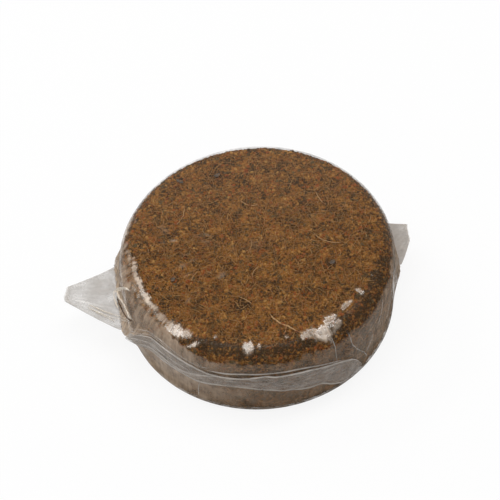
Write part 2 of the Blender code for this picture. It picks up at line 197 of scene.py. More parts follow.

# Places where the film bridges the crumbs and shines: azimuth, distance down the rim in mm, half sizes in mm,
# slant in degrees, shine and veil. The veil is haze; where a facet shines it is a whitish painted highlight.
BRIDGES = (
    (-178.0, 2.2, 3.2, 0.6, 0, 0.20, 0.55),
    (-170.0, 1.2, 4.6, 0.8, 5, 0.55, 0.74),
    (-162.0, 1.0, 3.8, 0.8, 0, 0.60, 0.72),
    (-155.0, 1.2, 3.0, 0.9, -8, 0.7, 0.68),
    (-148.5, 1.4, 3.6, 0.8, -5, 0.7, 0.64),
    (-140.0, 1.8, 3.6, 1.2, 0, 0.9, 0.50),
    (-131.5, 2.3, 3.8, 2.1, 0, 1.4, 0.50),
    (-126.4, 1.7, 2.4, 1.2, 0, 0.6, 0.45),
    (-120.8, 3.8, 2.0, 0.7, -38, 0.8, 0.45),
    (-113.0, -0.5, 0.7, 0.7, 0, 0.4, 0.25),
    (-174.0, 2.8, 5.0, 1.6, 0, 0.05, 0.26),
    (-157.0, 2.4, 12.0, 1.5, 0, 0.05, 0.24),
    (-97.0, 1.3, 1.7, 2.2, 0, 1.0, 0.42),
    (-92.0, 0.7, 0.5, 1.1, 0, 0.7, 0.35),
    (-79.0, -0.7, 0.5, 0.6, 0, 0.4, 0.25),
    (-68.0, 0.5, 3.2, 1.5, 0, 0.6, 0.50),
    (-62.5, 2.0, 3.2, 2.6, 0, 1.6, 0.52),
    (-61.4, 4.4, 0.6, 1.8, 0, 1.0, 0.45),
    (-56.5, -0.4, 3.0, 1.4, -8, 1.2, 0.52),
    (-55.5, 2.0, 1.7, 1.2, -20, 0.9, 0.45),
    (-45.5, -0.8, 2.6, 0.9, 0, 0.7, 0.45),
    (-35.0, -0.3, 0.8, 1.4, 40, 1.1, 0.45),
    (-24.0, 0.4, 0.4, 0.5, 0, 0.5, 0.30),
)
# Places where the top web is clearer or hazier: azimuth, distance down the rim in mm, half sizes in mm,
# slant in degrees and the change.
HAZE_SPOTS = (
    (-179.5, 4.6, 1.9, 1.7, 0, -0.40),
    (-156.0, 4.4, 1.3, 0.9, 0, -0.35),
    (-157.0, 9.6, 4.5, 2.6, 20, -0.16),
    (-165.0, 5.0, 2.4, 1.3, -30, 0.14),
    (-172.0, 8.5, 3.4, 2.6, 0, 0.12),
    (-54.0, 12.5, 3.0, 2.4, -20, -0.10),
)
# The tilt of film that mirrors the softbox to the viewer, by azimuth in degrees.
LIT_TILT = ((-178, 20.5), (-166, 22.0), (-153, 23.5), (-142, 23.0), (-131, 21.0), (-120, 18.4), (-98, 15.9),
            (-91, 15.7), (-70, 16.8), (-62, 18.0), (-50, 21.1), (-42, 23.5), (-24, 24.0))

# Folds of film at the left ear's root: points in mm, then width and height of the ridge in mm, and its haze.
LEFT_KNOT = (
    (((-38.8, -9.4, 22.9), (-41.0, -3.9, 15.2), (-42.4, -3.2, 14.0), (-42.7, -4.5, 13.9), (-42.4, -6.2, 13.9),
      (-42.0, -8.1, 14.0), (-41.4, -9.9, 14.3)), 0.60, 0.40, 0.80),
    (((-36.7, -12.2, 25.6), (-38.1, -10.3, 24.5), (-40.2, -5.4, 18.4), (-41.6, -2.7, 14.1),
      (-41.5, -4.3, 14.2), (-41.0, -6.3, 14.9), (-39.9, -9.3, 16.9), (-39.0, -12.0, 18.0),
      (-38.4, -14.0, 18.3), (-37.8, -16.0, 18.5), (-36.7, -18.0, 19.4)), 0.86, 0.48, 0.95),
    (((-50.4, -6.9, 13.8), (-48.3, -8.3, 13.9), (-45.1, -10.4, 14.0), (-41.6, -12.1, 14.0),
      (-39.2, -15.0, 16.4), (-36.7, -18.1, 19.4)), 0.44, 0.28, 0.55),
    (((-49.8, -8.6, 13.8), (-46.9, -10.5, 13.9), (-43.4, -12.4, 13.9), (-40.6, -13.8, 14.6),
      (-37.7, -17.8, 17.8)), 0.40, 0.26, 0.45),
    (((-51.0, -7.4, 13.7), (-47.7, -10.1, 13.6), (-44.6, -12.2, 13.6), (-42.2, -14.0, 13.5)), 0.32, 0.2, 0.5),
)
# A dark fibre along the knot's fold, which paints the fold's shadow: its points in mm.
FOLD_SHADOW_FIBRE = ((-41.8, -5.3, 14.1), (-41.7, -6.4, 14.2), (-41.2, -7.9, 14.3), (-40.3, -11.2, 15.8),
                (-39.3, -14.1, 16.8), (-38.2, -16.5, 18.1), (-36.7, -18.6, 19.7))

# Dark clods on the flat top: place and radius in mm.
DARK_CLODS = (
    (-9.9, 27.5, 1.5),
    (-21.9, 27.2, 1.3),
    (-23.8, -9.8, 1.3),
    (-4.7, -20.8, 2.0),
    (2.9, 18.7, 1.3),
    (-4.6, 12.2, 1.2),
    (20.7, -7.9, 1.4),
    (5.2, -4.3, 1.1),
    (-14.0, 2.0, 0.9),
    (13.5, 11.0, 0.9),
)


def length_prop(name, description, millimetres):
    return FloatProperty(name=name, description=description, default=millimetres * MM, unit="LENGTH")


def colour_prop(name, description, *default):
    return FloatVectorProperty(name=name, description=description, default=default, subtype="COLOR")


class PelletLooks(bpy.types.PropertyGroup):
    """Sizes, counts and colours of the pellet's looks."""
    voxel: length_prop("Block Detail", "Size of the block's mesh cells", 0.45)
    lump_height: length_prop("Lump Height", "Relief of the block's lumps", 0.55)
    crumb_size: length_prop("Crumb Size", "Middle length of a large crumb", 0.95)
    grit_size: length_prop("Grit Size", "Middle length of a small crumb", 0.52)
    crumbs: IntProperty(name="Crumbs", description="Large crumbs on the flat top", default=4200)
    grit: IntProperty(name="Grit", description="Small crumbs on the flat top", default=15500)
    fine_fibres: IntProperty(name="Fine Fibres", description="Short fibres all over the block", default=2600)
    hairs: IntProperty(name="Hairs", description="Long golden hairs on the flat top", default=70)
    strand_width: length_prop("Strand Width", "Width of a loose strand", 0.38)
    film: length_prop("Film", "Thickness of one ply of film", 0.06)
    # The dark pith is also the colour of the painted shade in the gaps between crumbs.
    pith_dark: colour_prop("Dark Pith", "Colour of the gaps and dark pith", 0.048, 0.027, 0.012)
    pith: colour_prop("Pith", "Colour of the pith", 0.256, 0.107, 0.024)
    pith_light: colour_prop("Light Pith", "Colour of the pale crumbs", 0.46, 0.25, 0.075)
    pith_red: colour_prop("Red Pith", "Colour of the reddish crumbs", 0.26, 0.075, 0.022)
    pith_grey: colour_prop("Grey Pith", "Colour of the grey-green crumbs", 0.10, 0.068, 0.032)
    fibre: colour_prop("Fibre", "Colour of the loose fibres", 0.74, 0.47, 0.22)
    husk: colour_prop("Husk", "Colour of the husk chips", 0.05, 0.036, 0.024)
    hair: colour_prop("Hair", "Colour of the finest fibres", 0.60, 0.36, 0.13)
    haze: colour_prop("Haze", "Colour of the band's and the short ear's haze", 0.49, 0.445, 0.40)
    ear_haze: colour_prop("Long Ear Haze", "Colour of the long ear's haze", 0.50, 0.47, 0.44)
    ridge_haze: colour_prop("Ridge Haze", "Colour of the knotted film at the ears' roots", 0.90, 0.81, 0.69)
    warm_haze: colour_prop("Warm Haze", "Colour of the haze of film on the pith", 0.545, 0.41, 0.295)


def looks():
    return bpy.context.scene.coir_pellet


# Shared tools for shapes.
def smooth(share):
    """Eases a share from 0 to 1, and holds it there outside."""
    share = np.clip(share, 0.0, 1.0)
    return share * share * (3 - 2 * share)


def window(values, start, rise, end, fall):
    """1 between two values, 0 outside them, with eased flanks of two widths."""
    return smooth((values - start) / rise) * smooth((end - values) / fall)


def noise_at(points, size, seed):
    """Smooth noise from -1 to 1 at each point, for features of about one size."""
    shift = Vector((seed * 3.1, seed * 1.7, seed * 2.3))
    return np.array([noise.noise(Vector(point) / size + shift) for point in points])


def laid_flat(across, along):
    """Points on an unrolled sheet, from where they are on it in metres."""
    return np.column_stack((across, along, 0 * across))


def round_axis(angle, radius=1.0, height=0.0):
    """Points, or directions, round the pellet's axis."""
    angle, radius, height = np.broadcast_arrays(angle, radius, height)
    return np.column_stack((radius * np.cos(angle), radius * np.sin(angle), height))


def about_axis(points):
    """The azimuth, distance from the axis and height of each point."""
    x, y, z = points.T
    return np.arctan2(y, x), np.hypot(x, y), z


def turn_between(angle, middle):
    return (angle - middle + math.pi) % math.tau - math.pi


def front_degrees(angle):
    """Azimuths in degrees, each as near the front's -100 as it can be."""
    return np.degrees(turn_between(angle, math.radians(-100.0))) - 100.0


def read_table(degrees, table):
    """A table's value at each azimuth in degrees, straight between its rows."""
    azimuths, values = np.transpose(table)
    return np.interp(degrees, azimuths, values)


def curve_through(knots, steps):
    """A smooth line through given points, with a like number of steps between each two."""
    knots = np.asarray(knots, dtype=float)
    padded = np.vstack((2 * knots[0] - knots[1], knots, 2 * knots[-1] - knots[-2]))
    line = []
    for k in range(1, len(padded) - 2):
        a, b, c, d = padded[k - 1:k + 3]
        for t in np.linspace(0, 1, steps, endpoint=False):
            line.append(0.5 * (2 * b + (c - a) * t + (2 * a - 5 * b + 4 * c - d) * t ** 2
                               + (3 * b - 3 * c + d - a) * t ** 3))
    line.append(padded[-2])
    return np.array(line)


# Shared tools for meshes.
def deselect():
    bpy.ops.object.select_all(action="DESELECT")


def take(item):
    """Makes one object the only selected and active one."""
    deselect()
    item.select_set(True)
    bpy.context.view_layer.objects.active = item


@contextmanager
def editing(item, select_all=True):
    """Edit mode on one object, with its whole mesh selected unless the selection is set beforehand."""
    take(item)
    bpy.ops.object.mode_set(mode="EDIT")
    if select_all:
        bpy.ops.mesh.select_all(action="SELECT")
    yield
    bpy.ops.object.mode_set(mode="OBJECT")


def read_vectors(parts, field):
    """One vector of each vertex or face, as rows."""
    values = np.empty(len(parts) * 3)
    parts.foreach_get(field, values)
    return values.reshape(-1, 3)


def points_of(item):
    return read_vectors(item.data.vertices, "co")


def set_points(item, points):
    item.data.vertices.foreach_set("co", np.asarray(points, dtype=np.float32).ravel())
    item.data.update()


def set_layers(item, **layers):
    """Stores values on a mesh's points: one number for all, one for each, or one vector for each."""
    for name, values in layers.items():
        values = np.asarray(values, dtype=np.float32)
        if values.ndim == 0:
            values = np.full(len(item.data.vertices), values)
        kind, field = ("FLOAT_VECTOR", "vector") if values.ndim == 2 else ("FLOAT", "value")
        layer = item.data.attributes.new(name, kind, "POINT")
        layer.data.foreach_set(field, values.ravel())


def apply_modifiers(item):
    take(item)
    for modifier in list(item.modifiers):
        bpy.ops.object.modifier_apply(modifier=modifier.name)


def face_outwards(item, merge=1e-7):
    """Merges doubles and points the faces out."""
    with editing(item):
        bpy.ops.mesh.remove_doubles(threshold=merge)
        bpy.ops.mesh.normals_make_consistent(inside=False)


def finish_piece(item, name, material, body="pellet", replaced=(), smooth_deg=60):
    """Names, shades and places a finished piece on its body."""
    item.name = name
    item.data.name = name
    item.data.materials.clear()
    item.data.materials.append(material)
    take(item)
    if smooth_deg:
        bpy.ops.object.shade_smooth_by_angle(angle=math.radians(smooth_deg))
    if body:
        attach(item, body)
    if replaced:
        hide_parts(*replaced)


def sheet_of_cells(columns, rows, place):
    """A grid primitive laid on a surface. place takes two arrays from 0 to 1 and gives the points."""
    deselect()
    bpy.ops.mesh.primitive_grid_add(x_subdivisions=columns, y_subdivisions=rows, size=1)
    item = bpy.context.object
    flat = points_of(item)
    set_points(item, place(flat[:, 0] + 0.5, flat[:, 1] + 0.5))
    return item


def thicken(item, thickness, offset=-1.0):
    wall = item.modifiers.new("Wall", "SOLIDIFY")
    wall.thickness = thickness
    wall.offset = offset
    apply_modifiers(item)


def film_sheet(columns, rows, thickness, place):
    """A sheet of film whose middle lies on a surface."""
    item = sheet_of_cells(columns, rows, place)
    face_outwards(item)
    thicken(item, thickness, 0.0)
    return item


def mesh_piece(name, points, faces):
    mesh = bpy.data.meshes.new(name)
    mesh.from_pydata(np.asarray(points).tolist(), [], faces)
    item = bpy.data.objects.new(name, mesh)
    bpy.context.scene.collection.objects.link(item)
    return item


def sweep(name, runs, outline, layer="tone"):
    """Closed ribs in one mesh. A run is its line, outward direction, half widths, heights and layer value."""
    points, faces, values = [], [], []
    sides = len(outline)
    first = 0
    for line, outward, widths, heights, value in runs:
        forward = np.gradient(line, axis=0)
        forward /= np.linalg.norm(forward, axis=1)[:, None]
        across = np.cross(forward, outward)
        across /= np.linalg.norm(across, axis=1)[:, None]
        up = np.cross(across, forward)
        wide = widths[:, None, None] * outline[None, :, 0:1] * across[:, None, :]
        high = heights[:, None, None] * outline[None, :, 1:2] * up[:, None, :]
        points.append((line[:, None, :] + wide + high).reshape(-1, 3))
        values.append(np.full(len(line) * sides, value))
        last = first + (len(line) - 1) * sides
        for near in range(first, last, sides):
            for side in range(sides):
                after = (side + 1) % sides
                faces.append((near + side, near + after, near + sides + after, near + sides + side))
        faces.append(tuple(reversed(range(first, first + sides))))
        faces.append(tuple(range(last, last + sides)))
        first = last + sides
    item = mesh_piece(name, np.vstack(points), faces)
    set_layers(item, **{layer: np.concatenate(values)})
    face_outwards(item, merge=1e-9)
    return item


# Shared tools for materials.
def add_node(tree, kind, inputs=None, **settings):
    """A node with its settings, whose inputs are plain values or the sockets that feed them."""
    node = tree.nodes.new(kind)
    for name, value in settings.items():
        setattr(node, name, value)
    for name, value in (inputs or {}).items():
        if isinstance(value, bpy.types.NodeSocket):
            tree.links.new(value, node.inputs[name])
        else:
            node.inputs[name].default_value = value
    return node


def new_material(name):
    material = bpy.data.materials.new(name)
    material.use_nodes = True
    material.node_tree.nodes.clear()
    return material, material.node_tree


def show(tree, shader, output="ShaderNodeOutputMaterial"):
    add_node(tree, output, {"Surface": shader.outputs[0]})


def new_group(name, inputs, outputs):
    """A node group. Its inputs are named with their defaults, and its outputs with their kinds."""
    group = bpy.data.node_groups.new(name, "ShaderNodeTree")
    kinds = {1: "NodeSocketFloat", 3: "NodeSocketVector", 4: "NodeSocketColor"}
    for label, value in inputs.items():
        socket = group.interface.new_socket(label, in_out="INPUT", socket_type=kinds[np.size(value)])
        socket.default_value = value
    for label, kind in outputs.items():
        group.interface.new_socket(label, in_out="OUTPUT", socket_type=kind)
    return group, group.nodes.new("NodeGroupInput").outputs


def use_group(tree, name, inputs):
    return add_node(tree, "ShaderNodeGroup", inputs, node_tree=bpy.data.node_groups[name])


def layer_node(tree, name, output="Fac"):
    """A value or a vector stored on the piece's points."""
    return add_node(tree, "ShaderNodeAttribute", attribute_name=name).outputs[output]


def object_place(tree):
    return add_node(tree, "ShaderNodeTexCoord").outputs["Object"]


def math_node(tree, operation, *values, clamp=False):
    node = add_node(tree, "ShaderNodeMath", dict(enumerate(values)), operation=operation, use_clamp=clamp)
    return node.outputs[0]


def weighted_sum(tree, *parts):
    """Adds up sockets, each times its weight."""
    terms = [math_node(tree, "MULTIPLY", socket, weight) for socket, weight in parts]
    total = terms[0]
    for term in terms[1:]:
        total = math_node(tree, "ADD", total, term)
    return total


def vector_node(tree, operation, *values):
    return add_node(tree, "ShaderNodeVectorMath", dict(enumerate(values)), operation=operation).outputs[0]


def range_node(tree, value, low, high, to_low=0.0, to_high=1.0):
    node = add_node(tree, "ShaderNodeMapRange", {"Value": value, "From Min": low, "From Max": high,
                                                 "To Min": to_low, "To Max": to_high})
    return node.outputs["Result"]


def mix_colour(tree, share, first, second):
    """Mixes two colours, each a socket or red, green and blue."""
    first, second = (side if isinstance(side, bpy.types.NodeSocket) else (*side, 1.0)
                     for side in (first, second))
    return add_node(tree, "ShaderNodeMix", {0: share, 6: first, 7: second}, data_type="RGBA").outputs[2]


def mix_shader(tree, share, first, second):
    return add_node(tree, "ShaderNodeMixShader", {0: share, 1: first.outputs[0], 2: second.outputs[0]})


def noise_node(tree, vector, scale, detail=3.0, roughness=0.55, distortion=0.0):
    node = add_node(tree, "ShaderNodeTexNoise", {"Vector": vector, "Scale": scale, "Detail": detail,
                                                 "Roughness": roughness, "Distortion": distortion})
    return node.outputs["Fac"]


def make_pith_group():
    """Mottled pith: clumps, grains, reddish and dark patches, and a height for its grain."""
    inputs = {"Tone": 0.5, "Clump Scale": 260.0, "Grain Scale": 1150.0,
              **dict.fromkeys(PITH_TONES, (0, 0, 0, 1)), "Hue": 0.5}
    outputs = {"Color": "NodeSocketColor", "Height": "NodeSocketFloat"}
    group, given = new_group("Pith Mottle", inputs, outputs)
    spot = object_place(group)
    clump = noise_node(group, spot, given["Clump Scale"], 4.0, 0.6)
    grain = noise_node(group, spot, given["Grain Scale"], 3.0, 0.65)
    moved = vector_node(group, "ADD", spot, (0.37, 0.11, 0.23))
    patch = noise_node(group, moved, 420.0, 3.0, 0.6)
    fine = noise_node(group, moved, 2600.0, 2.0, 0.6)
    level = weighted_sum(group, (clump, 1.0), (grain, 1.8), (given["Tone"], 0.8), (fine, 0.8))
    dark_share = range_node(group, level, 1.72, 2.14)
    light_share = range_node(group, level, 2.16, 2.80)
    colour = mix_colour(group, dark_share, given["Dark"], given["Middle"])
    colour = mix_colour(group, light_share, colour, given["Light"])
    hue = math_node(group, "ADD", given["Hue"], range_node(group, patch, 0.3, 0.7, -0.3, 0.3))
    red_share = math_node(group, "MULTIPLY", range_node(group, hue, 0.35, 0.1), dark_share)
    colour = mix_colour(group, red_share, colour, given["Red"])
    colour = mix_colour(group, range_node(group, hue, 0.72, 0.98), colour, given["Grey"])
    height = weighted_sum(group, (grain, 0.7), (fine, 0.3))
    add_node(group, "NodeGroupOutput", {"Color": colour, "Height": height})


def make_film_group():
    """Film's surface: how its haze varies along the streaks, and a normal for its fine wrinkles."""
    inputs = {"Streak Scale": 900.0, "Streak Length": 0.16, "Wrinkle": 0.3, "Streak Contrast": 0.5,
              "Normal": (0, 0, 1)}
    outputs = {"Haze": "NodeSocketFloat", "Normal": "NodeSocketVector"}
    group, given = new_group("Film Wrinkle", inputs, outputs)
    flow = add_node(group, "ShaderNodeSeparateXYZ", {0: layer_node(group, "flow", "Vector")}).outputs
    drawn = math_node(group, "MULTIPLY", flow["Y"], given["Streak Length"])
    stretched = add_node(group, "ShaderNodeCombineXYZ", {"X": flow["X"], "Y": drawn})
    streak = noise_node(group, stretched.outputs[0], given["Streak Scale"], 3.0, 0.6, 0.3)
    spot = object_place(group)
    cloud = noise_node(group, spot, 260.0, 3.0, 0.5)
    pucker = noise_node(group, spot, 900.0, 2.0, 0.5, 0.4)
    streak_range = range_node(group, streak, 0.35, 0.68, -1.0, 1.0)
    swing = math_node(group, "MULTIPLY", streak_range, given["Streak Contrast"])
    drift = range_node(group, cloud, 0.35, 0.65, -0.25, 0.25)
    haze = math_node(group, "ADD", math_node(group, "ADD", swing, drift), 1.0)
    relief = math_node(group, "ADD", streak, math_node(group, "MULTIPLY", pucker, 0.8))
    bump = add_node(group, "ShaderNodeBump", {"Height": relief, "Strength": given["Wrinkle"],
                                              "Distance": 0.0002, "Normal": given["Normal"]})
    add_node(group, "NodeGroupOutput", {"Haze": haze, "Normal": bump.outputs[0]})


def show_dry(tree, colour, relief, strength, depth, roughness, gloss=0.5):
    """Gives a material a matte surface with a fine relief."""
    bump = add_node(tree, "ShaderNodeBump", {"Height": relief, "Strength": strength, "Distance": depth})
    show(tree, add_node(tree, "ShaderNodeBsdfPrincipled", {
        "Base Color": colour, "Normal": bump.outputs[0], "Roughness": roughness,
        "Specular IOR Level": gloss}))


def pith_material(name):
    """Dry pith. Each crumb's tone and hue come from the piece's layers."""
    material, tree = new_material(name)
    inputs = {"Tone": layer_node(tree, "tone"), "Hue": layer_node(tree, "hue")}
    inputs.update({label: (*getattr(looks(), prop), 1) for label, prop in PITH_TONES.items()})
    mottle = use_group(tree, "Pith Mottle", inputs).outputs
    show_dry(tree, mottle["Color"], mottle["Height"], 0.6, 0.0003, 0.92, 0.08)
    return material


def fibre_material(name, colour):
    """Dry fibre with darker joints along it and a tone of its own."""
    material, tree = new_material(name)
    joints = noise_node(tree, object_place(tree), 900.0, 3.0, 0.6)
    worn = mix_colour(tree, range_node(tree, joints, 0.34, 0.54), looks().pith_red, colour)
    tone = range_node(tree, layer_node(tree, "tone"), 0.0, 1.0)
    show_dry(tree, mix_colour(tree, tone, looks().pith, worn), joints, 0.4, 0.0001, 0.6)
    return material


def husk_material(name, colour):
    """A dark flake of husk with a paler, worn grain."""
    material, tree = new_material(name)
    stretched = add_node(tree, "ShaderNodeMapping", {"Vector": object_place(tree), "Scale": (1.0, 4.0, 1.0)})
    grain = noise_node(tree, stretched.outputs[0], 700.0, 4.0, 0.6)
    shade = mix_colour(tree, range_node(tree, grain, 0.52, 0.75), colour, looks().pith)
    show_dry(tree, shade, grain, 0.5, 0.0002, 0.7)
    return material


def film_material(name, roughness, wrinkle, streak_scale=900.0, streak_length=0.16, contrast=0.5, tint=None):
    """Clear film: see-through, with a haze and a shine that the piece's own layers scale, and painted shade
    that darkens the haze where a layer sets it and along the outline.
    """
    material, tree = new_material(name)
    geometry = add_node(tree, "ShaderNodeNewGeometry").outputs
    leant = vector_node(tree, "ADD", geometry["Normal"], layer_node(tree, "lean", "Vector"))
    rough = math_node(tree, "SUBTRACT", 1.0, layer_node(tree, "calm"))
    surface = use_group(tree, "Film Wrinkle", {
        "Wrinkle": math_node(tree, "MULTIPLY", rough, wrinkle), "Streak Scale": streak_scale,
        "Streak Length": streak_length, "Streak Contrast": contrast,
        "Normal": vector_node(tree, "NORMALIZE", leant)}).outputs
    haze = layer_node(tree, "haze")
    normal = surface["Normal"]
    # Toward the outline the haze thickens and turns to FILM_SHADE while the shine fades: a painted dark
    # reflection along the outline.
    facing = add_node(tree, "ShaderNodeLayerWeight", {"Blend": 0.5}).outputs["Facing"]
    edge = range_node(tree, facing, 0.80, 0.98, 0.0, 0.75)
    dull = math_node(tree, "MAXIMUM", layer_node(tree, "dull"), edge)
    colour = mix_colour(tree, dull, tint or looks().haze, FILM_SHADE)
    clear = add_node(tree, "ShaderNodeBsdfTransparent", {"Color": WHITE})
    veil = add_node(tree, "ShaderNodeBsdfPrincipled", {"Base Color": colour, "Roughness": 0.6,
                                                       "Specular IOR Level": 0.0, "Normal": normal})
    mirror = add_node(tree, "ShaderNodeBsdfPrincipled", {"Base Color": MIRROR_TINT, "Metallic": 1.0,
                                                         "Roughness": roughness, "Normal": normal})
    fresnel = add_node(tree, "ShaderNodeFresnel", {"IOR": 1.75, "Normal": normal}).outputs[0]
    face_haze = math_node(tree, "MULTIPLY", haze, surface["Haze"], clamp=True)
    edge_haze = math_node(tree, "MULTIPLY", edge, math_node(tree, "MULTIPLY", haze, 3.0, clamp=True))
    haze_share = math_node(tree, "MAXIMUM", face_haze, edge_haze)
    shine_share = math_node(tree, "MULTIPLY", fresnel, layer_node(tree, "shine"), clamp=True)
    shine_share = math_node(tree, "MULTIPLY", shine_share, math_node(tree, "SUBTRACT", 1.0, edge))
    glossy = mix_shader(tree, shine_share, mix_shader(tree, haze_share, clear, veil), mirror)
    show(tree, mix_shader(tree, geometry["Backfacing"], glossy, clear))
    return material


# The pressed block and what lies loose on it.
def round_edge(item, height, width, segments):
    """Rounds the edges that lie at one height."""
    mesh = item.data
    for part in (mesh.vertices, mesh.polygons):
        part.foreach_set("select", [False] * len(part))
    level = [abs(vertex.co.z - height) < 1e-6 for vertex in mesh.vertices]
    mesh.edges.foreach_set("select", [level[e.vertices[0]] and level[e.vertices[1]] for e in mesh.edges])
    with editing(item, select_all=False):
        bpy.ops.mesh.select_mode(type="EDGE")
        bpy.ops.mesh.bevel(offset=width, segments=segments, affect="EDGES")


def flat_lift(points):
    """How far the flat top lies above or below the rim's level: a low ground with the solid's lumps on it."""
    _, reach, height = about_axis(points)
    inside = smooth((FLAT_RADIUS - reach) / (4.5 * MM)) * (height > BLOCK_TOP - 1.0 * MM)
    lumps = np.zeros(len(points))
    for x, y, z in SOLID_LUMPS:
        away = np.hypot(points[:, 0] - x, points[:, 1] - y)
        lumps = np.maximum(lumps, (z - SOLID_TOP) * smooth(1 - away / LUMP_REACH))
    return (lumps - LUMP_GROUND) * inside


def facing(angle, azimuth_deg, start, fade):
    """1 where an azimuth is near a direction and 0 where the cosine between them is below a start."""
    return smooth((np.cos(angle - math.radians(azimuth_deg)) - start) / fade)


def tone_shift(points):
    """Darker pith on the rim, most at its front, lighter pith on the left of the rim and above the band,
    darker in the clods, and an uneven tone all over.
    """
    angle, reach, height = about_axis(points)
    rim = smooth((reach - FLAT_RADIUS - 1.0 * MM) / (3.0 * MM))
    front = facing(angle, -66, 0.45, 0.25) * smooth((reach - FLAT_RADIUS + 0.4 * MM) / (1.3 * MM))
    front = front * smooth((height - 24.5 * MM) / (1.5 * MM))
    left = facing(angle, -160, 0.6, 0.3) * rim
    over_band = facing(angle, -84, 0.72, 0.2) * smooth((25.6 * MM - height) / (1.2 * MM))
    shift = -0.24 * rim - 0.42 * front + 0.16 * left + 0.16 * over_band
    shift = shift + 0.22 * noise_at(points, 4.5 * MM, 41)
    uneven = 1 + 0.6 * noise_at(points, 1.2 * MM, 42)
    for x, y, radius in DARK_CLODS:
        away = np.hypot(points[:, 0] - x * MM, points[:, 1] - y * MM) * uneven / (radius * MM)
        shift = shift - 0.42 * smooth(1.5 - away) * (height > BLOCK_TOP - TOP_RIM)
    return shift


class COIR_OT_add_block(bpy.types.Operator):
    """Add the pressed coir block"""
    bl_idname = "coir_pellet.add_block"
    bl_label = "Add Pressed Block"

    def execute(self, context):
        own = looks()
        deselect()
        height = BLOCK_TOP - BLOCK_BASE
        bpy.ops.mesh.primitive_cylinder_add(vertices=128, radius=BLOCK_RADIUS, depth=height,
                                            location=(0, 0, BLOCK_BASE + height / 2))
        block = context.object
        bpy.ops.object.transform_apply(location=True, rotation=False, scale=False)
        round_edge(block, BLOCK_TOP, TOP_RIM, 8)
        round_edge(block, BLOCK_BASE, BOTTOM_RIM, 5)
        cells = block.modifiers.new("Cells", "REMESH")
        cells.mode = "VOXEL"
        cells.voxel_size = own.voxel
        apply_modifiers(block)
        points = points_of(block)
        points[:, 2] += flat_lift(points)
        set_points(block, points)
        for name, kind, size, share in BLOCK_RELIEF:
            texture = bpy.data.textures.new(name, kind)
            texture.noise_scale = size
            relief = block.modifiers.new(name, "DISPLACE")
            relief.texture = texture
            relief.texture_coords = "LOCAL"
            relief.strength = own.lump_height * share
            relief.mid_level = 0.5
        apply_modifiers(block)
        points = points_of(block)
        points[:, 2] = np.maximum(points[:, 2], BLOCK_BASE - 0.1 * MM)
        set_points(block, points)
        # The block's tone is set low, so the pith that shows between the crumbs is darker than they are:
        # painted shade in the gaps.
        set_layers(block, tone=0.16 + tone_shift(points), hue=0.5)
        finish_piece(block, "pressed_block", pith_material("Pressed Pith"), replaced=["coir_disc"])
        return {"FINISHED"}


def crumb_forms(rng, count, coarse):
    """A few uneven lumps made from one small ball."""
    deselect()
    if coarse:
        bpy.ops.mesh.primitive_ico_sphere_add(subdivisions=1, radius=1.0)
    else:
        bpy.ops.mesh.primitive_uv_sphere_add(segments=3, ring_count=3, radius=1.0)
        with editing(bpy.context.object):
            bpy.ops.mesh.quads_convert_to_tris()
    ball = bpy.context.object
    points = points_of(ball)
    faces = np.array([tuple(face.vertices) for face in ball.data.polygons])
    bpy.data.objects.remove(ball, do_unlink=True)
    return [points * rng.uniform(0.62, 1.3, (len(points), 1)) for _ in range(count)], faces


def scatter(name, spots, normals, lengths, rng, material, coarse, sink):
    """Crumbs pressed into a surface, in one mesh."""
    forms, faces = crumb_forms(rng, 6, coarse)
    count = len(spots)
    spread = 0.34 if coarse else 0.36
    tones = np.clip(rng.normal(0.46, spread, count) + tone_shift(spots), -0.25, 1.3)
    side = np.cross(normals, rng.normal(size=(count, 3)))
    side /= np.linalg.norm(side, axis=1)[:, None]
    third = np.cross(normals, side)
    flat = rng.uniform(0.45, 0.8, count)
    slim = rng.uniform(0.55, 0.95, count)
    shapes = np.array(forms)[rng.integers(0, len(forms), count)]
    half = lengths / 2
    points = (spots - normals * (half * sink)[:, None])[:, None, :]
    for axis, direction, reach in ((0, side, half), (1, third, half * slim), (2, normals, half * flat)):
        points = points + shapes[:, :, axis:axis + 1] * (direction * reach[:, None])[:, None, :]
    size = shapes.shape[1]
    all_faces = (faces[None] + (np.arange(count) * size)[:, None, None]).reshape(-1, 3)
    item = mesh_piece(name, points.reshape(-1, 3), all_faces.tolist())
    set_layers(item, tone=np.repeat(tones, size), hue=np.repeat(rng.random(count), size))
    face_outwards(item, merge=1e-9)
    finish_piece(item, name, material, smooth_deg=0)


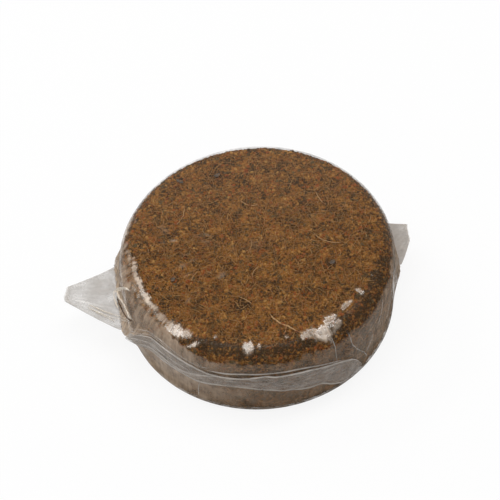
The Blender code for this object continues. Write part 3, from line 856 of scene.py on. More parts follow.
class COIR_OT_add_crumbs(bpy.types.Operator):
    """Scatter loose crumbs over the block"""
    bl_idname = "coir_pellet.add_crumbs"
    bl_label = "Add Crumbs"

    def execute(self, context):
        own = looks()
        faces = bpy.data.objects["pressed_block"].data.polygons
        centres, normals = read_vectors(faces, "center"), read_vectors(faces, "normal")
        _, reach, height = about_axis(centres)
        rim_foot = BLOCK_TOP - TOP_RIM - 1.5 * MM
        base_edge = BLOCK_BASE + 0.8 * MM
        on_top = (height > BLOCK_TOP - 1.5 * MM) & (reach < FLAT_RADIUS)
        on_rim = (height > rim_foot) & (reach >= FLAT_RADIUS)
        on_side = (height <= rim_foot) & (height > base_edge) & (reach > FLAT_RADIUS)
        on_base = height < base_edge
        # Each region's share of the crumbs, their size and how far they are sunk in.
        regions = (("top", on_top, 1.0, 1.0, 0.25), ("rim", on_rim, 0.62, 1.08, 0.25),
                   ("side", on_side, 0.62, 1.0, 0.5), ("base", on_base, 0.3, 1.0, 0.8))
        kinds = (("crumbs", own.crumbs, own.crumb_size, True), ("grit", own.grit, own.grit_size, False))
        material = pith_material("Loose Pith")
        rng = np.random.default_rng(11)
        for region, inside, share, size, sink in regions:
            for kind, count, length, coarse in kinds:
                places = np.flatnonzero(inside)
                chosen = rng.choice(places, size=min(int(count * share), len(places)), replace=False)
                lengths = length * size * np.clip(rng.lognormal(0.0, 0.30, len(chosen)), 0.5, 1.9)
                scatter(f"{region}_{kind}", centres[chosen], normals[chosen], lengths, rng, material,
                        coarse, sink)
        return {"FINISHED"}


def top_point(azimuth, share, height):
    """A point over the flat top, at an azimuth and a share of the flat's radius."""
    radius = share * FLAT_RADIUS
    return np.array((radius * math.cos(azimuth), radius * math.sin(azimuth), height))


def fibre_line(start, heading, length, bend, steps, wobble, rng):
    """A bent line in a plane, from its middle's place, with a slight wobble."""
    turns = heading + bend * np.linspace(-1, 1, steps) + rng.normal(0, wobble, steps)
    stride = length / (steps - 1)
    walk = np.cumsum(np.column_stack((np.cos(turns), np.sin(turns))) * stride, axis=0)
    walk -= walk[steps // 2]
    return start + np.column_stack((walk, np.zeros(steps)))


def tapered(steps, width, tip=0.35):
    return width * (tip + (1 - tip) * np.sin(np.pi * np.linspace(0.06, 0.94, steps)) ** 0.5)


def fibre_run(line, width, tone, outward=UP):
    """A fibre for sweep, thinner at its ends."""
    wide = tapered(len(line), width)
    return line, outward, wide, wide, tone


def add_fibre_piece(name, runs, material, replaced=()):
    finish_piece(sweep(name, runs, FIBRE_SECTION), name, material, replaced=replaced)


class COIR_OT_add_fibres(bpy.types.Operator):
    """Add the short fibres and the loose strands"""
    bl_idname = "coir_pellet.add_fibres"
    bl_label = "Add Fibres"

    def execute(self, context):
        own = looks()
        rng = np.random.default_rng(23)
        material = fibre_material("Short Fibre", own.hair)
        runs = [self.short_fibre(rng) for _ in range(own.fine_fibres)]
        add_fibre_piece("short_fibres", runs, material)
        add_fibre_piece("golden_hairs", [self.hair(rng) for _ in range(own.hairs)], material)
        material = fibre_material("Loose Strand", own.fibre)
        for number, (azimuth, share, heading, length, bend) in enumerate(STRANDS, 1):
            low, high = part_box(f"coir_strand_{number}")
            middle = top_point(math.radians(azimuth), share, (low.z + high.z) / 2 + STRAND_RAISE)
            line = fibre_line(middle, math.radians(heading), length * MM, math.radians(bend), 18, 0.13, rng)
            if number == 1:
                twig = fibre_line(line[9], math.radians(heading - 62), 3.4 * MM, -0.2, 8, 0.08, rng)
                runs = [fibre_run(line, own.strand_width * 0.625, 1.0),
                        fibre_run(twig + line[9] - twig[0], own.strand_width * 0.34, 0.9)]
            else:
                runs = [fibre_run(line, own.strand_width * 0.4, 0.62)]
            add_fibre_piece(f"strand_{number}", runs, material, replaced=[f"coir_strand_{number}"])
        return {"FINISHED"}

    def short_fibre(self, rng):
        """A fine fibre half sunk in the flat top or the side."""
        length = rng.uniform(1.2, 5.0) * MM
        width = rng.uniform(0.045, 0.11) * MM
        tone = 0.7 * rng.uniform(0.1, 1.0) ** 1.2
        if rng.random() < 0.62:
            share = math.sqrt(rng.random())
            place = top_point(rng.uniform(0, math.tau), share, BLOCK_TOP + 0.3 * MM)
            line = fibre_line(place, rng.uniform(0, math.tau), length, rng.normal(0, 0.5), 6, 0.12, rng)
            line[:, 2] += flat_lift(line) + rng.uniform(-0.12, 0.16) * MM
            return fibre_run(line, width, tone)
        flat = fibre_line(np.zeros(3), rng.uniform(0, math.tau), length, rng.normal(0, 0.5), 6, 0.12, rng)
        azimuth = rng.uniform(0, math.tau) + flat[:, 0] / BLOCK_RADIUS
        height = rng.uniform(3 * MM, BLOCK_TOP - TOP_RIM) + flat[:, 1]
        height = np.clip(height, 2 * MM, BLOCK_TOP - TOP_RIM)
        line = round_axis(azimuth, BLOCK_RADIUS + 0.12 * MM, height)
        return fibre_run(line, width, tone, round_axis(azimuth))

    def hair(self, rng):
        """A long golden hair that lies on the flat top."""
        share = 0.96 * math.sqrt(rng.random())
        place = top_point(rng.uniform(0, math.tau), share, BLOCK_TOP + 0.36 * MM)
        bend = rng.uniform(0.3, 1.3) * rng.choice((-1, 1))
        line = fibre_line(place, rng.uniform(0, math.tau), rng.uniform(3.0, 7.5) * MM, bend, 12, 0.06, rng)
        line[:, 2] += flat_lift(line)
        return fibre_run(line, rng.uniform(0.05, 0.085) * MM, rng.uniform(0.6, 1.0))


class COIR_OT_add_chips(bpy.types.Operator):
    """Add the loose chips of husk"""
    bl_idname = "coir_pellet.add_chips"
    bl_label = "Add Husk Chips"

    def execute(self, context):
        rng = np.random.default_rng(5)
        material = husk_material("Husk Flake", looks().husk)
        for number, (azimuth, share, heading, length, width) in enumerate(CHIPS, 1):
            low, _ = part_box(f"husk_chip_{number}")
            place = top_point(math.radians(azimuth), share, low.z + CHIP_RAISE)
            deselect()
            bpy.ops.mesh.primitive_circle_add(vertices=11, radius=0.5, fill_type="NGON")
            chip = context.object
            with editing(chip):
                bpy.ops.mesh.inset(thickness=0.14)
            points = points_of(chip)
            points[:, :2] *= rng.uniform(0.86, 1.08, (len(points), 1))
            x, y = points[:, 0] * length * MM, points[:, 1] * width * MM
            curl = 0.4 * MM * points[:, 0] ** 2
            turn = math.radians(heading)
            spun = (x * math.cos(turn) - y * math.sin(turn), x * math.sin(turn) + y * math.cos(turn), curl)
            set_points(chip, np.column_stack(spun) + place)
            thicken(chip, 0.22 * MM)
            finish_piece(chip, f"chip_{number}", material, replaced=[f"husk_chip_{number}"],
                         smooth_deg=35)
        return {"FINISHED"}


# The wrapper's shape.
class Fold:
    """A film ear's fold line and outline, read from the frame, and the powers that curve its edges."""

    def __init__(self, side, low_lip, low_curve, high_curve):
        joint = next(joint for joint in frame["joints"] if joint["name"] == side + "_ear_fold")
        self.side = side
        self.body = side + "_ear"
        self.low_lip, self.low_curve, self.high_curve = low_lip, low_curve, high_curve
        self.origin = np.array(joint["pos_m"])
        self.reach = float(np.hypot(self.origin[0], self.origin[1]))
        self.out = np.array((self.origin[0], self.origin[1], 0.0)) / self.reach
        self.along = np.array((-self.out[1], self.out[0], 0.0))
        self.azimuth = math.atan2(self.out[1], self.out[0])
        _, root = self.local(node_points(side + "_ear_crease"))
        self.low_end, self.high_end = root.min(), root.max()
        tip_out, tip_along = self.local(node_points(side + "_ear_end_weld"))
        self.length = tip_out.max()
        corners = tip_along[tip_out > self.length - 0.1 * MM]
        self.tip_low, self.tip_high = corners.min(), corners.max()

    def local(self, points):
        """How far points are out from the fold line, and along it."""
        away = points - self.origin
        return away @ self.out, away @ self.along

    def world(self, out, along, rise):
        out, along, rise = np.broadcast_arrays(out, along, rise)
        return (self.origin + out[:, None] * self.out + along[:, None] * self.along
                + rise[:, None] * np.array(UP))

    def edges(self, share):
        """The ear's two edges along the fold line, from its root at share 0 to its tip at 1."""
        share = np.clip(share, 0.0, 1.0)
        return (self.low_end + (self.tip_low - self.low_end) * share ** self.low_curve,
                self.high_end + (self.tip_high - self.high_end) * share ** self.high_curve)

    def blend(self, item):
        """Bakes a piece's place into its mesh."""
        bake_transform(item)


LEFT_FOLD = Fold("left", 1.0, 0.82, 1.10)
RIGHT_FOLD = Fold("right", 0.68, 1.10, 0.86)
FOLDS = (LEFT_FOLD, RIGHT_FOLD)
EAR_HEIGHT = float(LEFT_FOLD.origin[2])


def lip_share(angle, fold):
    """1 where an azimuth is on an ear's root, fading to 0 beside it."""
    turn = turn_between(angle, fold.azimuth)
    low = math.atan2(fold.low_end * fold.low_lip, fold.reach)
    high = math.atan2(fold.high_end, fold.reach)
    return smooth(1 - np.maximum(0.0, np.maximum(low - turn, turn - high)) / FLARE_FADE)


def flare(angle):
    """How far the webs stand out from the wall at the weld."""
    out = np.zeros_like(angle)
    for fold in FOLDS:
        lip = (fold.reach - LIP_SHORT) / np.cos(np.clip(turn_between(angle, fold.azimuth), -0.9, 0.9))
        out = np.maximum(out, (lip - WALL_RADIUS) * lip_share(angle, fold))
    return out


def seal_height(angle):
    """The weld's height: the ears' height, and along the front the height of the band's root."""
    degrees = front_degrees(angle)
    front = read_table(degrees, BAND_ROOT) * MM
    return EAR_HEIGHT + (front + 0.3 * MM - EAR_HEIGHT) * window(degrees, -160.0, 14.0, -46.0, 12.0)


def web_sizes(up):
    """A web's rim, its flat's height and the rim's share of its skin. up is 1 for the top and -1 below."""
    if up > 0:
        return FILM_RIM, FILM_TOP, TOP_RIM_SHARE
    return BOTTOM_FILM_RIM, FILM_BASE, BOTTOM_RIM_SHARE


def skin(angle, share, up):
    """Radius, height and outward direction of a web, from the rim's start at share 0 to the weld at 1."""
    rim, flat, rim_share = web_sizes(up)
    turn = np.clip(share / rim_share, 0, 1) * math.pi / 2
    drop = np.clip((share - rim_share) / (1 - rim_share), 0, 1)
    wall_end = flat - up * rim
    height = flat - up * rim * (1 - np.cos(turn)) + (seal_height(angle) - wall_end) * drop
    lean = drop ** (TOP_LEAN if up > 0 else BOTTOM_LEAN)
    early = np.clip((share - 0.32) / 0.68, 0, 1) ** 1.35
    lean = lean + 0.35 * np.maximum(early - lean, 0)
    radius = WALL_RADIUS - rim + rim * np.sin(turn) + flare(angle) * lean
    return radius, height, np.sin(turn), up * np.cos(turn)


def spot_distance(angle, arc, radius, azimuth, reach, along, across, slant):
    """How far points of the rim are from the middle of a slanted oval, as a share of its half sizes."""
    off = turn_between(angle, math.radians(azimuth)) * radius
    down = arc - reach * MM
    lie, stand = math.cos(math.radians(slant)), math.sin(math.radians(slant))
    return np.hypot((off * lie + down * stand) / (along * MM), (down * lie - off * stand) / (across * MM))


def bridges(angle, arc, fine, fibrous):
    """How far each point is inside a bridging facet, and that facet's shine and veil; where the facet shines
    the veil is painted highlight.
    """
    inside, shine, veil = np.zeros_like(angle), np.zeros_like(angle), np.zeros_like(angle)
    for *oval, glow, dull in BRIDGES:
        far = spot_distance(angle, arc, FLAT_RADIUS * 1.06, *oval)
        ragged = 0.6 if oval[3] > 1.8 or dull > 0.6 else 1.0
        share = smooth((1.2 - far + ragged * (0.30 * fine + 0.45 * fibrous)) / 0.7)
        inside = np.maximum(inside, share)
        shine = np.maximum(shine, share * glow * (0.9 + 0.5 * fine))
        veil = np.maximum(veil, share * dull)
    return inside, shine, veil


def haze_change(angle, arc, fine):
    """How much clearer or hazier the top web is where its spots are."""
    change = np.zeros_like(angle)
    for *oval, more in HAZE_SPOTS:
        change += more * smooth((1.3 - spot_distance(angle, arc, WALL_RADIUS, *oval) + 0.3 * fine) / 0.6)
    return change


def rim_arc(share, radius):
    """Distance along the top web's skin from where its rim starts."""
    return np.where(radius < FLAT_RADIUS, radius - FLAT_RADIUS, share / TOP_RIM_SHARE * RIM_ARC)


def rim_noise(angle, arc):
    """Crumb-sized noise and brush-like noise across the rim, from where a point is on the skin."""
    across = angle * RIM_UNROLLED
    return (noise_at(laid_flat(across, arc), 0.9 * MM, 7),
            noise_at(laid_flat(across / 0.6, arc / 2.4), 1.0 * MM, 8))


def wall_wrinkles(angle, share, radius, up):
    """How far the film stands out or in, from flutes round the wall and gathers at the ears."""
    low = np.clip((share - 0.35) / 0.4, 0, 1)
    soft = noise_at(round_axis(angle, UNROLLED, share * 9 * MM), 5.0 * MM, 1)
    flutes = noise_at(round_axis(angle, UNROLLED, share * 2.2 * MM), 1.7 * MM, 2)
    rise = low * (0.22 * soft + 0.10 * flutes)
    if up > 0:
        arc = rim_arc(share, radius)
        fine, fibrous = rim_noise(angle, arc)
        inside, _, _ = bridges(angle, arc, fine, fibrous)
        on_rim = smooth((arc + 1.5 * MM) / (1.5 * MM)) * smooth((0.62 - share) / 0.15)
        rise = rise + on_rim * 0.09 * (1 - inside) * np.minimum(fine, 0.4)
    for fold in FOLDS:
        turn = turn_between(angle, fold.azimuth) * 40
        gathers = 0.16 * np.sin(turn * 2.1) + 0.09 * np.sin(turn * 5.3 + 1.0)
        rise = rise + up * lip_share(angle, fold) * low * gathers
    return rise * MM


def near_ear(angle, fold, reach, fade):
    """1 near an ear's middle, fading to 0 at a reach in degrees."""
    return smooth((reach - np.abs(np.degrees(turn_between(angle, fold.azimuth)))) / fade)


def wall_haze(angle, height):
    """How bunched, and so how hazy, the wall's film is, by how near the ears are and how low."""
    low = smooth((22 * MM - height) / (16 * MM))
    at_root = near_ear(angle, LEFT_FOLD, 44.0, 20.0)
    left = near_ear(angle, LEFT_FOLD, 82.0, 42.0) * (1 - 0.3 * at_root * (1 - low))
    return 0.20 + 0.06 * low + 0.38 * left + 0.17 * near_ear(angle, RIGHT_FOLD, 66.0, 60.0)


def lift_height(angle):
    """Where the film leaves the block: high beside the left ear, lower along the front."""
    degrees = front_degrees(angle)
    left = window(degrees, -215.0, 20.0, -112.0, 26.0)
    return LIFT_HEIGHT + 2.6 * MM * left + 0.8 * MM * smooth((degrees + 44.0) / 14.0)


def bridge_lean(angle, arc, inside):
    """What to add to the rim's normals so that the facets mirror the softbox."""
    tilt = np.radians(read_table(front_degrees(angle), LIT_TILT))
    now = np.clip(arc / FILM_RIM, 0.0, math.pi / 2)
    return round_axis(angle, (np.sin(tilt) - np.sin(now)) * inside, (np.cos(tilt) - np.cos(now)) * inside)


def web_layers(angle, share, radius, points, up):
    """Haze with a painted sheen and painted highlights in it, shine, lean, painted shade and calm of the
    wrapper at each point.
    """
    height = points[:, 2]
    arc = rim_arc(share, radius)
    fine, fibrous = rim_noise(angle, arc)
    wall = wall_haze(angle, height) * (1 + 0.35 * noise_at(points, 4 * MM, 9) + 0.2 * fine)
    degrees = front_degrees(angle)
    right = window(degrees, -46.0, 24.0, 60.0, 30.0)
    wall_shine = (0.04 + 0.5 * wall) * (1 - 0.7 * right)
    lean = np.zeros((len(angle), 3))
    inside = np.zeros_like(angle)
    if up > 0:
        ragged = (noise_at(points, 1.5 * MM, 4) + noise_at(points, 5 * MM, 5)) * LIFT_RAGGED
        loose = smooth((lift_height(angle) + ragged - height) / (1.0 * MM))
        down = np.where(height < WALL_TOP, RIM_ARC + WALL_TOP - height, arc)
        on_rim = smooth((arc - 2 * MM) / (3 * MM)) * smooth((11 * MM - down) / (4 * MM))
        # Toward the back, most on the rim, the haze grows: a painted sheen. The shine grows there too.
        back = smooth((points[:, 1] + 15 * MM) / (50 * MM))
        haze = np.maximum(wall + haze_change(angle, down, fine), 0.04) * loose
        haze = haze + 0.004 + (0.010 + 0.10 * on_rim) * back
        shine = 0.06 + (0.14 + 0.5 * on_rim) * back + wall_shine * loose
        inside, glow, veil = bridges(angle, arc, fine, fibrous)
        shine = np.maximum(shine, glow)
        # The facets' veil adds whitish haze where the film shines: painted highlight.
        haze = np.maximum(haze, veil * (1 + 0.5 * fibrous))
        lean = bridge_lean(angle, arc, inside)
    else:
        haze = 0.05 + wall * smooth(share / 0.2)
        shine = wall_shine * smooth((height - 3 * MM) / (7 * MM))
    # Near the base the haze thickens and turns toward FILM_SHADE, less on the left: painted shade along the
    # foot.
    foot = smooth((3.4 * MM - height) / (1.8 * MM))
    haze = np.maximum(haze, 0.80 * foot)
    dull = (0.70 - 0.45 * window(degrees, -200.0, 20.0, -108.0, 22.0)) * foot
    # At each ear's root: more haze, painted shade that darkens the film towards the front, and where on the
    # skin that starts.
    for fold, more, darker, start in ((LEFT_FOLD, 0.24, 0.0, 0.55), (RIGHT_FOLD, 0.90, 0.90, 0.42)):
        near = lip_share(angle, fold) * smooth((share - start) / 0.3)
        haze = haze + more * near
        shine = shine * (1 - (0.6 + 0.3 * darker) * near)
        dull = dull + darker * near * smooth((0.10 - np.sin(angle)) / 0.3)
    return {"haze": np.clip(haze, 0, 1), "shine": np.maximum(shine, 0), "lean": lean,
            "dull": np.clip(dull, 0, 1), "calm": 0.7 * inside}


def dress_web(item, up):
    """Sets the web's layers from where its points are."""
    points = points_of(item)
    angle, radius, height = about_axis(points)
    rim, flat, rim_share = web_sizes(up)
    on_flat = radius < WALL_RADIUS - rim
    drop = np.abs(flat - height)
    turn = np.arccos(np.clip(1 - drop / rim, 0, 1))
    wall = np.maximum(np.abs(flat - up * rim - seal_height(angle)), 1e-6)
    below = rim_share + (1 - rim_share) * (drop - rim) / wall
    share = np.where(drop < rim, turn / (math.pi / 2) * rim_share, below)
    share = np.where(on_flat, 0.0, share)
    flow = laid_flat(angle * UNROLLED, height + np.where(on_flat, radius, 0))
    set_layers(item, flow=flow, **web_layers(angle, share, radius, points, up))


class COIR_OT_add_webs(bpy.types.Operator):
    """Add the two webs of clear film"""
    bl_idname = "coir_pellet.add_webs"
    bl_label = "Add Film Webs"

    def execute(self, context):
        self.add_web("film_over", 1, 76, "top_film", 0.35)
        self.add_web("film_under", -1, 48, "bottom_film", 0.22)
        return {"FINISHED"}

    def add_web(self, name, up, rows, node, contrast):
        """One web: a grid whose rows run from the middle of its flat to the weld."""
        def place(u, v):
            angle = math.tau * u
            share = np.clip((v - FLAT_ROWS) / (1 - FLAT_ROWS), 0, 1)
            radius, height, out, rise = skin(angle, share, up)
            on_flat = 1 - (1 - np.clip(v / FLAT_ROWS, 0, 1)) ** 1.8
            radius = np.where(v < FLAT_ROWS, radius * on_flat, radius)
            lift = wall_wrinkles(angle, share, radius, up)
            return round_axis(angle, radius + out * lift, height + rise * lift)

        item = sheet_of_cells(600, rows, place)
        face_outwards(item, merge=1e-6)
        faces = item.data.polygons
        if (read_vectors(faces, "center") * read_vectors(faces, "normal")).sum() < 0:
            with editing(item):
                bpy.ops.mesh.flip_normals()
        thicken(item, looks().film)
        dress_web(item, up)
        material = film_material(name.replace("_", " ").title(), 0.16, 0.35, contrast=contrast,
                                 tint=looks().warm_haze)
        finish_piece(item, name, material, replaced=[node])


def wall_point(angle, height, off):
    """Points off the wrapper's outside, at an azimuth and a height, and their outward directions."""
    above = np.clip(height - WALL_TOP, 0, FILM_RIM * 0.98)
    past_flat = np.sqrt(FILM_RIM ** 2 - above ** 2)
    weld = seal_height(angle)
    over = np.clip((WALL_TOP - height) / np.maximum(WALL_TOP - weld, 1e-6), 0, 1) ** TOP_LEAN
    under = np.clip(height / np.maximum(weld, 1e-6), 0, 1) ** BOTTOM_LEAN
    radius = FLAT_RADIUS + past_flat + flare(angle) * np.where(height > weld, over, under) + off
    tilt = np.arctan2(past_flat, above)
    return round_axis(angle, radius, height), round_axis(angle, np.sin(tilt), np.cos(tilt))


def ridge_run(line, outward, width, height, haze, thin, uneven):
    """A ridge of film for sweep, thinner at its ends. Its width and height are in mm."""
    swell = MM * (1 + uneven) * np.clip(3 * np.sin(np.pi * np.linspace(0, 1, len(line))), thin, 1)
    return line, outward, width / 2 * swell, height * swell, haze


class COIR_OT_add_front_seal(bpy.types.Operator):
    """Add the folded front band and the creases on the wall"""
    bl_idname = "coir_pellet.add_front_seal"
    bl_label = "Add Front Seal"

    def execute(self, context):
        self.add_band()
        self.add_creases()
        return {"FINISHED"}

    def add_band(self):
        first, last = BAND_ROOT[0][0], BAND_ROOT[-1][0]

        def place(u, v):
            degrees = first + (last - first) * u
            high, low = read_table(degrees, BAND_ROOT), read_table(degrees, BAND_EDGE)
            flat = laid_flat(u * 74 * MM, v * 8 * MM)
            crinkle = 0.26 * noise_at(flat, 1.9 * MM, 61) + 0.12 * noise_at(flat, 0.9 * MM, 62)
            wave = 0.12 * np.sin(u * 61 + 3 * v) + 0.08 * np.sin(u * 131 + 1.2 * v) + crinkle
            stand = (0.32 + 0.28 * np.sin(math.pi * v) + wave * np.minimum(1.0, 2.2 * v) * 0.8) * MM
            angle = np.radians(degrees)
            line, _ = wall_point(angle, (high + (low - high) * v) * MM, 0.0)
            return line + round_axis(angle, stand)

        band = film_sheet(340, 24, 2 * looks().film, place)
        points = points_of(band)
        angle, _, height = about_axis(points)
        left = smooth((-118.0 - np.degrees(angle)) / 16.0)
        right = smooth((np.degrees(angle) + 80.0) / 12.0)
        haze = (0.40 + 0.06 * left - 0.07 * right) * (1 + 0.45 * noise_at(points, 2.5 * MM, 15))
        set_layers(band, haze=haze, shine=0.35, flow=laid_flat(height, angle * UNROLLED))
        material = film_material("Welded Band", 0.2, 0.4, streak_scale=1400.0, streak_length=0.12,
                                 contrast=0.55)
        finish_piece(band, "front_band", material, replaced=["front_seal_fin"])

    def add_creases(self):
        """Ridges along the band's two edges and on the wall, which lie over the band where they cross it."""
        runs = []
        rows = ((BAND_ROOT, 0.42, 0.34, 0.7), (BAND_EDGE, 0.40, 0.30, 0.85), *WALL_CREASES)
        for number, (knots, width, height, haze) in enumerate(rows):
            degrees, level = curve_through(knots, 8).T
            inset = np.minimum(read_table(degrees, BAND_ROOT) - level, level - read_table(degrees, BAND_EDGE))
            in_band = smooth(inset / 0.8) * (degrees > BAND_ROOT[0][0]) * (degrees < BAND_ROOT[-1][0])
            off = 0.45 * MM if number < 2 else (0.02 + 0.60 * in_band) * MM
            line, outward = wall_point(np.radians(degrees), level * MM, off)
            uneven = 0.3 * noise_at(line, 2.0 * MM, 20 + number)
            runs.append(ridge_run(line, outward, width, height, haze * 1.1, 0.12, uneven))
        item = sweep("front_creases", runs, RIDGE, "haze")
        angle, _, height = about_axis(points_of(item))
        set_layers(item, shine=0.9, flow=laid_flat(height, angle * UNROLLED))
        material = film_material("Crease Film", 0.22, 0.2, contrast=0.3)
        finish_piece(item, "front_creases", material)


def tip_slant(fold, v):
    """How much shorter the ear's end is towards its back edge, and at its front corner."""
    if fold is RIGHT_FOLD:
        return fold.length * (0.10 * (1 - v) - 0.05 * v ** 2)
    return fold.length * (0.10 * (1 - v) ** 1.5 + 0.03 * v ** 6)


class COIR_OT_add_ears(bpy.types.Operator):
    """Add the two film ears with their creases and end welds"""
    bl_idname = "coir_pellet.add_ears"
    bl_label = "Add Film Ears"

    def execute(self, context):
        # The right ear's haze is darkened a little toward FILM_SHADE: painted shade.
        for fold, haze, puff, dull, tint in ((LEFT_FOLD, 0.50, 0.55, 0.0, looks().ear_haze),
                                             (RIGHT_FOLD, 0.80, 0.35, 0.12, None)):
            material = film_material(f"{fold.side.title()} Ear Film", 0.25, 0.3, streak_scale=420.0,
                                     contrast=0.16, tint=tint)
            for layer, up in (("upper", 1), ("lower", -1)):
                self.add_ply(fold, layer, up, material, haze, puff, dull)
            self.add_end_weld(fold)
            self.add_gathers(fold)
            if fold is LEFT_FOLD:
                self.add_fold_shadow_fibre()
        return {"FINISHED"}

    def add_ply(self, fold, layer, up, material, haze, puff, dull):
        """One ply of an ear, from just inside its fold line to its tip."""
        def place(u, v):
            out = -PLY_INSIDE + (fold.length - END_WELD * 0.2 + PLY_INSIDE) * u
            out = out - tip_slant(fold, v) * smooth((u - 0.5) / 0.5)
            low, high = fold.edges(out / fold.length)
            along = low + (high - low) * v
            swell = np.sin(math.pi * np.clip(u, 0, 1)) * np.sin(math.pi * v)
            fan = laid_flat((v - 0.5) * (fold.high_end - fold.low_end), out * 0.22)
            gather = 0.22 * noise_at(fan, 1.7 * MM, 12) * (1 - 0.55 * u) * np.sin(math.pi * v) ** 0.5
            ripple = 0.30 * noise_at(laid_flat(out, along), 4.5 * MM, 13)
            rise = up * (0.15 + puff * swell) + gather + ripple * swell
            return fold.world(out, along, rise * MM)

        item = film_sheet(90, 80, looks().film, place)
        points = points_of(item)
        out, along = fold.local(points)
        low, high = fold.edges(out / fold.length)
        width = np.maximum(high - low, 1e-6)
        middle = np.clip((along - low) / width, 0, 1)
        edge = smooth(np.minimum(middle, 1 - middle) * width / (0.5 * MM))
        halfway = np.sin(math.pi * np.clip(0.12 + 0.88 * out / fold.length, 0, 1))
        patchy = 0.10 * noise_at(points - fold.origin, 3.0 * MM, 14) + 0.05 * halfway
        set_layers(item, haze=haze * (1 + patchy) + 0.18 * (1 - edge), shine=0.9, dull=dull,
                   flow=laid_flat(along, out))
        finish_piece(item, f"{fold.side}_ear_{layer}_film", material, body=None,
                     replaced=[f"{fold.side}_ear_{layer}_ply"])
        fold.blend(item)

    def add_end_weld(self, fold):
        """The welded, crimped end across the tip."""
        def place(u, v):
            out = fold.length - END_WELD + END_WELD * u - tip_slant(fold, v)
            low, high = fold.edges(out / fold.length)
            return fold.world(out, low + (high - low) * v, 0.05 * MM * np.sin(v * 19))

        item = film_sheet(12, 30, 0.4 * MM, place)
        set_layers(item, haze=0.35, shine=0.9, flow=laid_flat(*fold.local(points_of(item))))
        material = film_material(f"{fold.side.title()} End Weld", 0.25, 0.4, contrast=0.5)
        finish_piece(item, f"{fold.side}_ear_tip", material, body=fold.body,
                     replaced=[f"{fold.side}_ear_end_weld"])

    def add_gathers(self, fold):
        """Folds of film at the ear's root, and the thin welded lines along its edges."""
        rng = np.random.default_rng(31)
        runs = []
        share = np.linspace(0.0, 0.97, 30)
        for edge in fold.edges(share):
            wide = np.full(30, 0.11 * MM)
            runs.append((fold.world(share * fold.length * 0.96, edge, 0.1 * MM), UP, wide, wide, 0.22))
        if fold is LEFT_FOLD:
            for knots, width, height, haze in LEFT_KNOT:
                line = curve_through(knots, 7) * MM
                angle, _, _ = about_axis(line)
                uneven = 0.35 * noise_at(line, 1.3 * MM, 51)
                runs.append(ridge_run(line, round_axis(angle, 0.55, 0.83), width, height, haze, 0.15, uneven))
        share = np.linspace(0.04, 0.96, 40)
        for _ in range(2 if fold is LEFT_FOLD else 5):
            wave = 0.14 * np.sin(share * 9 + rng.uniform(0, 6)) + rng.uniform(-0.35, 0.25)
            rise = 0.10 * np.sin(share * 7 + rng.uniform(0, 6)) + rng.uniform(0.0, 0.25)
            line = fold.world(wave * MM, fold.low_end + (fold.high_end - fold.low_end) * share, rise * MM)
            wide = tapered(40, rng.uniform(0.08, 0.16) * MM, 0.1)
            runs.append((line, UP, wide, wide * 0.8, rng.uniform(0.06, 0.2)))
        name = f"{fold.side}_ear_gathers"
        item = sweep(name, runs, RIDGE, "haze")
        set_layers(item, shine=0.5, flow=laid_flat(*fold.local(points_of(item))))
        material = film_material(f"{fold.side.title()} Gathered Film", 0.2, 0.3, tint=looks().ridge_haze)
        finish_piece(item, name, material, body=None, replaced=[f"{fold.side}_ear_crease"])
        fold.blend(item)

    def add_fold_shadow_fibre(self):
        """A dark fibre in a fold of film by the long ear, laid along the fold's dark line: painted shadow."""
        line = curve_through(FOLD_SHADOW_FIBRE, 6) * MM
        run = fibre_run(line, 0.19 * MM, 1.0, (-0.5, -0.3, 0.8))
        add_fibre_piece("caught_fibre", [run], husk_material("Fold Shadow Fibre", looks().pith_dark))


# The camera stands where the photograph's does, and the studio is a pale floor under soft light.
CAMERA_PLACE = (0.0, -0.3111, 0.4287)
CAMERA_AIM = (0.0, 0.0, 0.012)
CAMERA_ROLL_DEG = -4.38
CAMERA_LENS = 126.63
CAMERA_SHIFT = (-0.0169, 0.0516)
FLOOR_RADIUS = 6.0
FLOOR_GLOW = 0.88
WORLD_STRENGTH = 0.36
# Each softbox's place, size and power.
SOFTBOXES = {
    "Overhead Softbox": ((-0.03, 0.10, 1.0), (1.45, 0.27), 6.7),
    "Rear Softbox": ((-0.60, 0.39, 0.70), (0.40, 0.16), 1.2),
}


def add_aimed(name, data, place, aim=(0, 0, 0), roll_deg=0.0):
    """An object that looks from its place at a point."""
    item = bpy.data.objects.new(name, data)
    bpy.context.scene.collection.objects.link(item)
    item.location = place
    item.rotation_mode = "QUATERNION"
    aimed = (Vector(aim) - Vector(place)).to_track_quat("-Z", "Y")
    item.rotation_quaternion = aimed @ Quaternion((0, 0, 1), math.radians(roll_deg))
    return item


def seen_by_viewer(tree):
    """1 for rays from the camera, from a mirror or through a clear piece."""
    path = add_node(tree, "ShaderNodeLightPath").outputs
    seen = math_node(tree, "MAXIMUM", path["Is Camera Ray"], path["Is Glossy Ray"])
    return math_node(tree, "MAXIMUM", seen, path["Is Transmission Ray"])


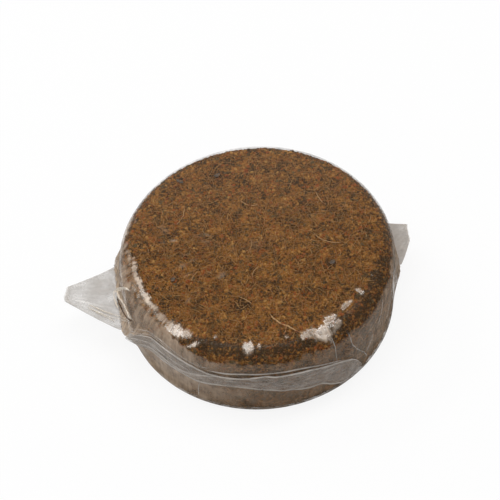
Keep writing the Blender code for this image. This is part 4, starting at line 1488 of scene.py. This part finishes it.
class COIR_OT_add_stage(bpy.types.Operator):
    """Add the floor, the lights and the camera"""
    bl_idname = "coir_pellet.add_stage"
    bl_label = "Add Stage"

    def execute(self, context):
        scene = context.scene
        deselect()
        bpy.ops.mesh.primitive_circle_add(vertices=64, radius=FLOOR_RADIUS, fill_type="NGON")
        floor = context.object
        floor.name = "studio_floor"
        floor.data.materials.append(self.floor_material())
        for name, (place, size, power) in SOFTBOXES.items():
            light = bpy.data.lights.new(name, "AREA")
            light.shape = "RECTANGLE"
            light.size, light.size_y = size
            light.energy = power
            add_aimed(name, light, place)
        self.make_world(scene)
        data = bpy.data.cameras.new("Photo Camera")
        data.lens = CAMERA_LENS
        data.shift_x, data.shift_y = CAMERA_SHIFT
        data.clip_start, data.clip_end = 0.01, 20.0
        scene.camera = add_aimed("Photo Camera", data, CAMERA_PLACE, CAMERA_AIM, CAMERA_ROLL_DEG)
        scene.view_settings.view_transform = "Standard"
        return {"FINISHED"}

    def floor_material(self):
        """A pale floor that looks white to the viewer and keeps the pellet's shadow."""
        material, tree = new_material("Studio Floor")
        seen = seen_by_viewer(tree)
        fine = noise_node(tree, object_place(tree), 40.0, 2.0, 0.5)
        bounce = mix_colour(tree, range_node(tree, fine, 0.3, 0.7), (0.74, 0.74, 0.74), (0.78, 0.78, 0.78))
        matte = add_node(tree, "ShaderNodeBsdfPrincipled", {
            "Base Color": mix_colour(tree, seen, bounce, (1.0, 1.0, 1.0)), "Roughness": 0.9,
            "Specular IOR Level": 0.0})
        glow = add_node(tree, "ShaderNodeEmission", {"Color": WHITE, "Strength": 1.0})
        show(tree, mix_shader(tree, math_node(tree, "MULTIPLY", seen, FLOOR_GLOW), matte, glow))
        return material

    def make_world(self, scene):
        scene.world = bpy.data.worlds.new("Studio")
        scene.world.use_nodes = True
        tree = scene.world.node_tree
        tree.nodes.clear()
        strength = range_node(tree, seen_by_viewer(tree), 0.0, 1.0, WORLD_STRENGTH, 1.0)
        sky = add_node(tree, "ShaderNodeBackground", {"Color": WHITE, "Strength": strength})
        show(tree, sky, "ShaderNodeOutputWorld")


OPERATORS = (COIR_OT_add_block, COIR_OT_add_crumbs, COIR_OT_add_fibres, COIR_OT_add_chips, COIR_OT_add_webs,
             COIR_OT_add_front_seal, COIR_OT_add_ears, COIR_OT_add_stage)


class COIR_PT_panel(bpy.types.Panel):
    """Lists the pellet's pieces and sizes"""
    bl_label = "Coir Pellet"
    bl_idname = "COIR_PT_panel"
    bl_space_type = "VIEW_3D"
    bl_region_type = "UI"
    bl_category = "Coir Pellet"

    def draw(self, context):
        own = context.scene.coir_pellet
        for name in own.bl_rna.properties.keys():
            if name not in {"rna_type", "name"}:
                self.layout.prop(own, name)
        for operator in OPERATORS:
            self.layout.operator(operator.bl_idname)


CLASSES = (PelletLooks, *OPERATORS, COIR_PT_panel)


def register():
    for cls in CLASSES:
        bpy.utils.register_class(cls)
    bpy.types.Scene.coir_pellet = PointerProperty(type=PelletLooks)


def unregister():
    del bpy.types.Scene.coir_pellet
    for cls in reversed(CLASSES):
        bpy.utils.unregister_class(cls)


def main():
    register()
    make_pith_group()
    make_film_group()
    bpy.ops.coir_pellet.add_block()
    bpy.ops.coir_pellet.add_crumbs()
    bpy.ops.coir_pellet.add_fibres()
    bpy.ops.coir_pellet.add_chips()
    bpy.ops.coir_pellet.add_webs()
    bpy.ops.coir_pellet.add_front_seal()
    bpy.ops.coir_pellet.add_ears()
    bpy.ops.coir_pellet.add_stage()


if __name__ == "__main__":
    main()
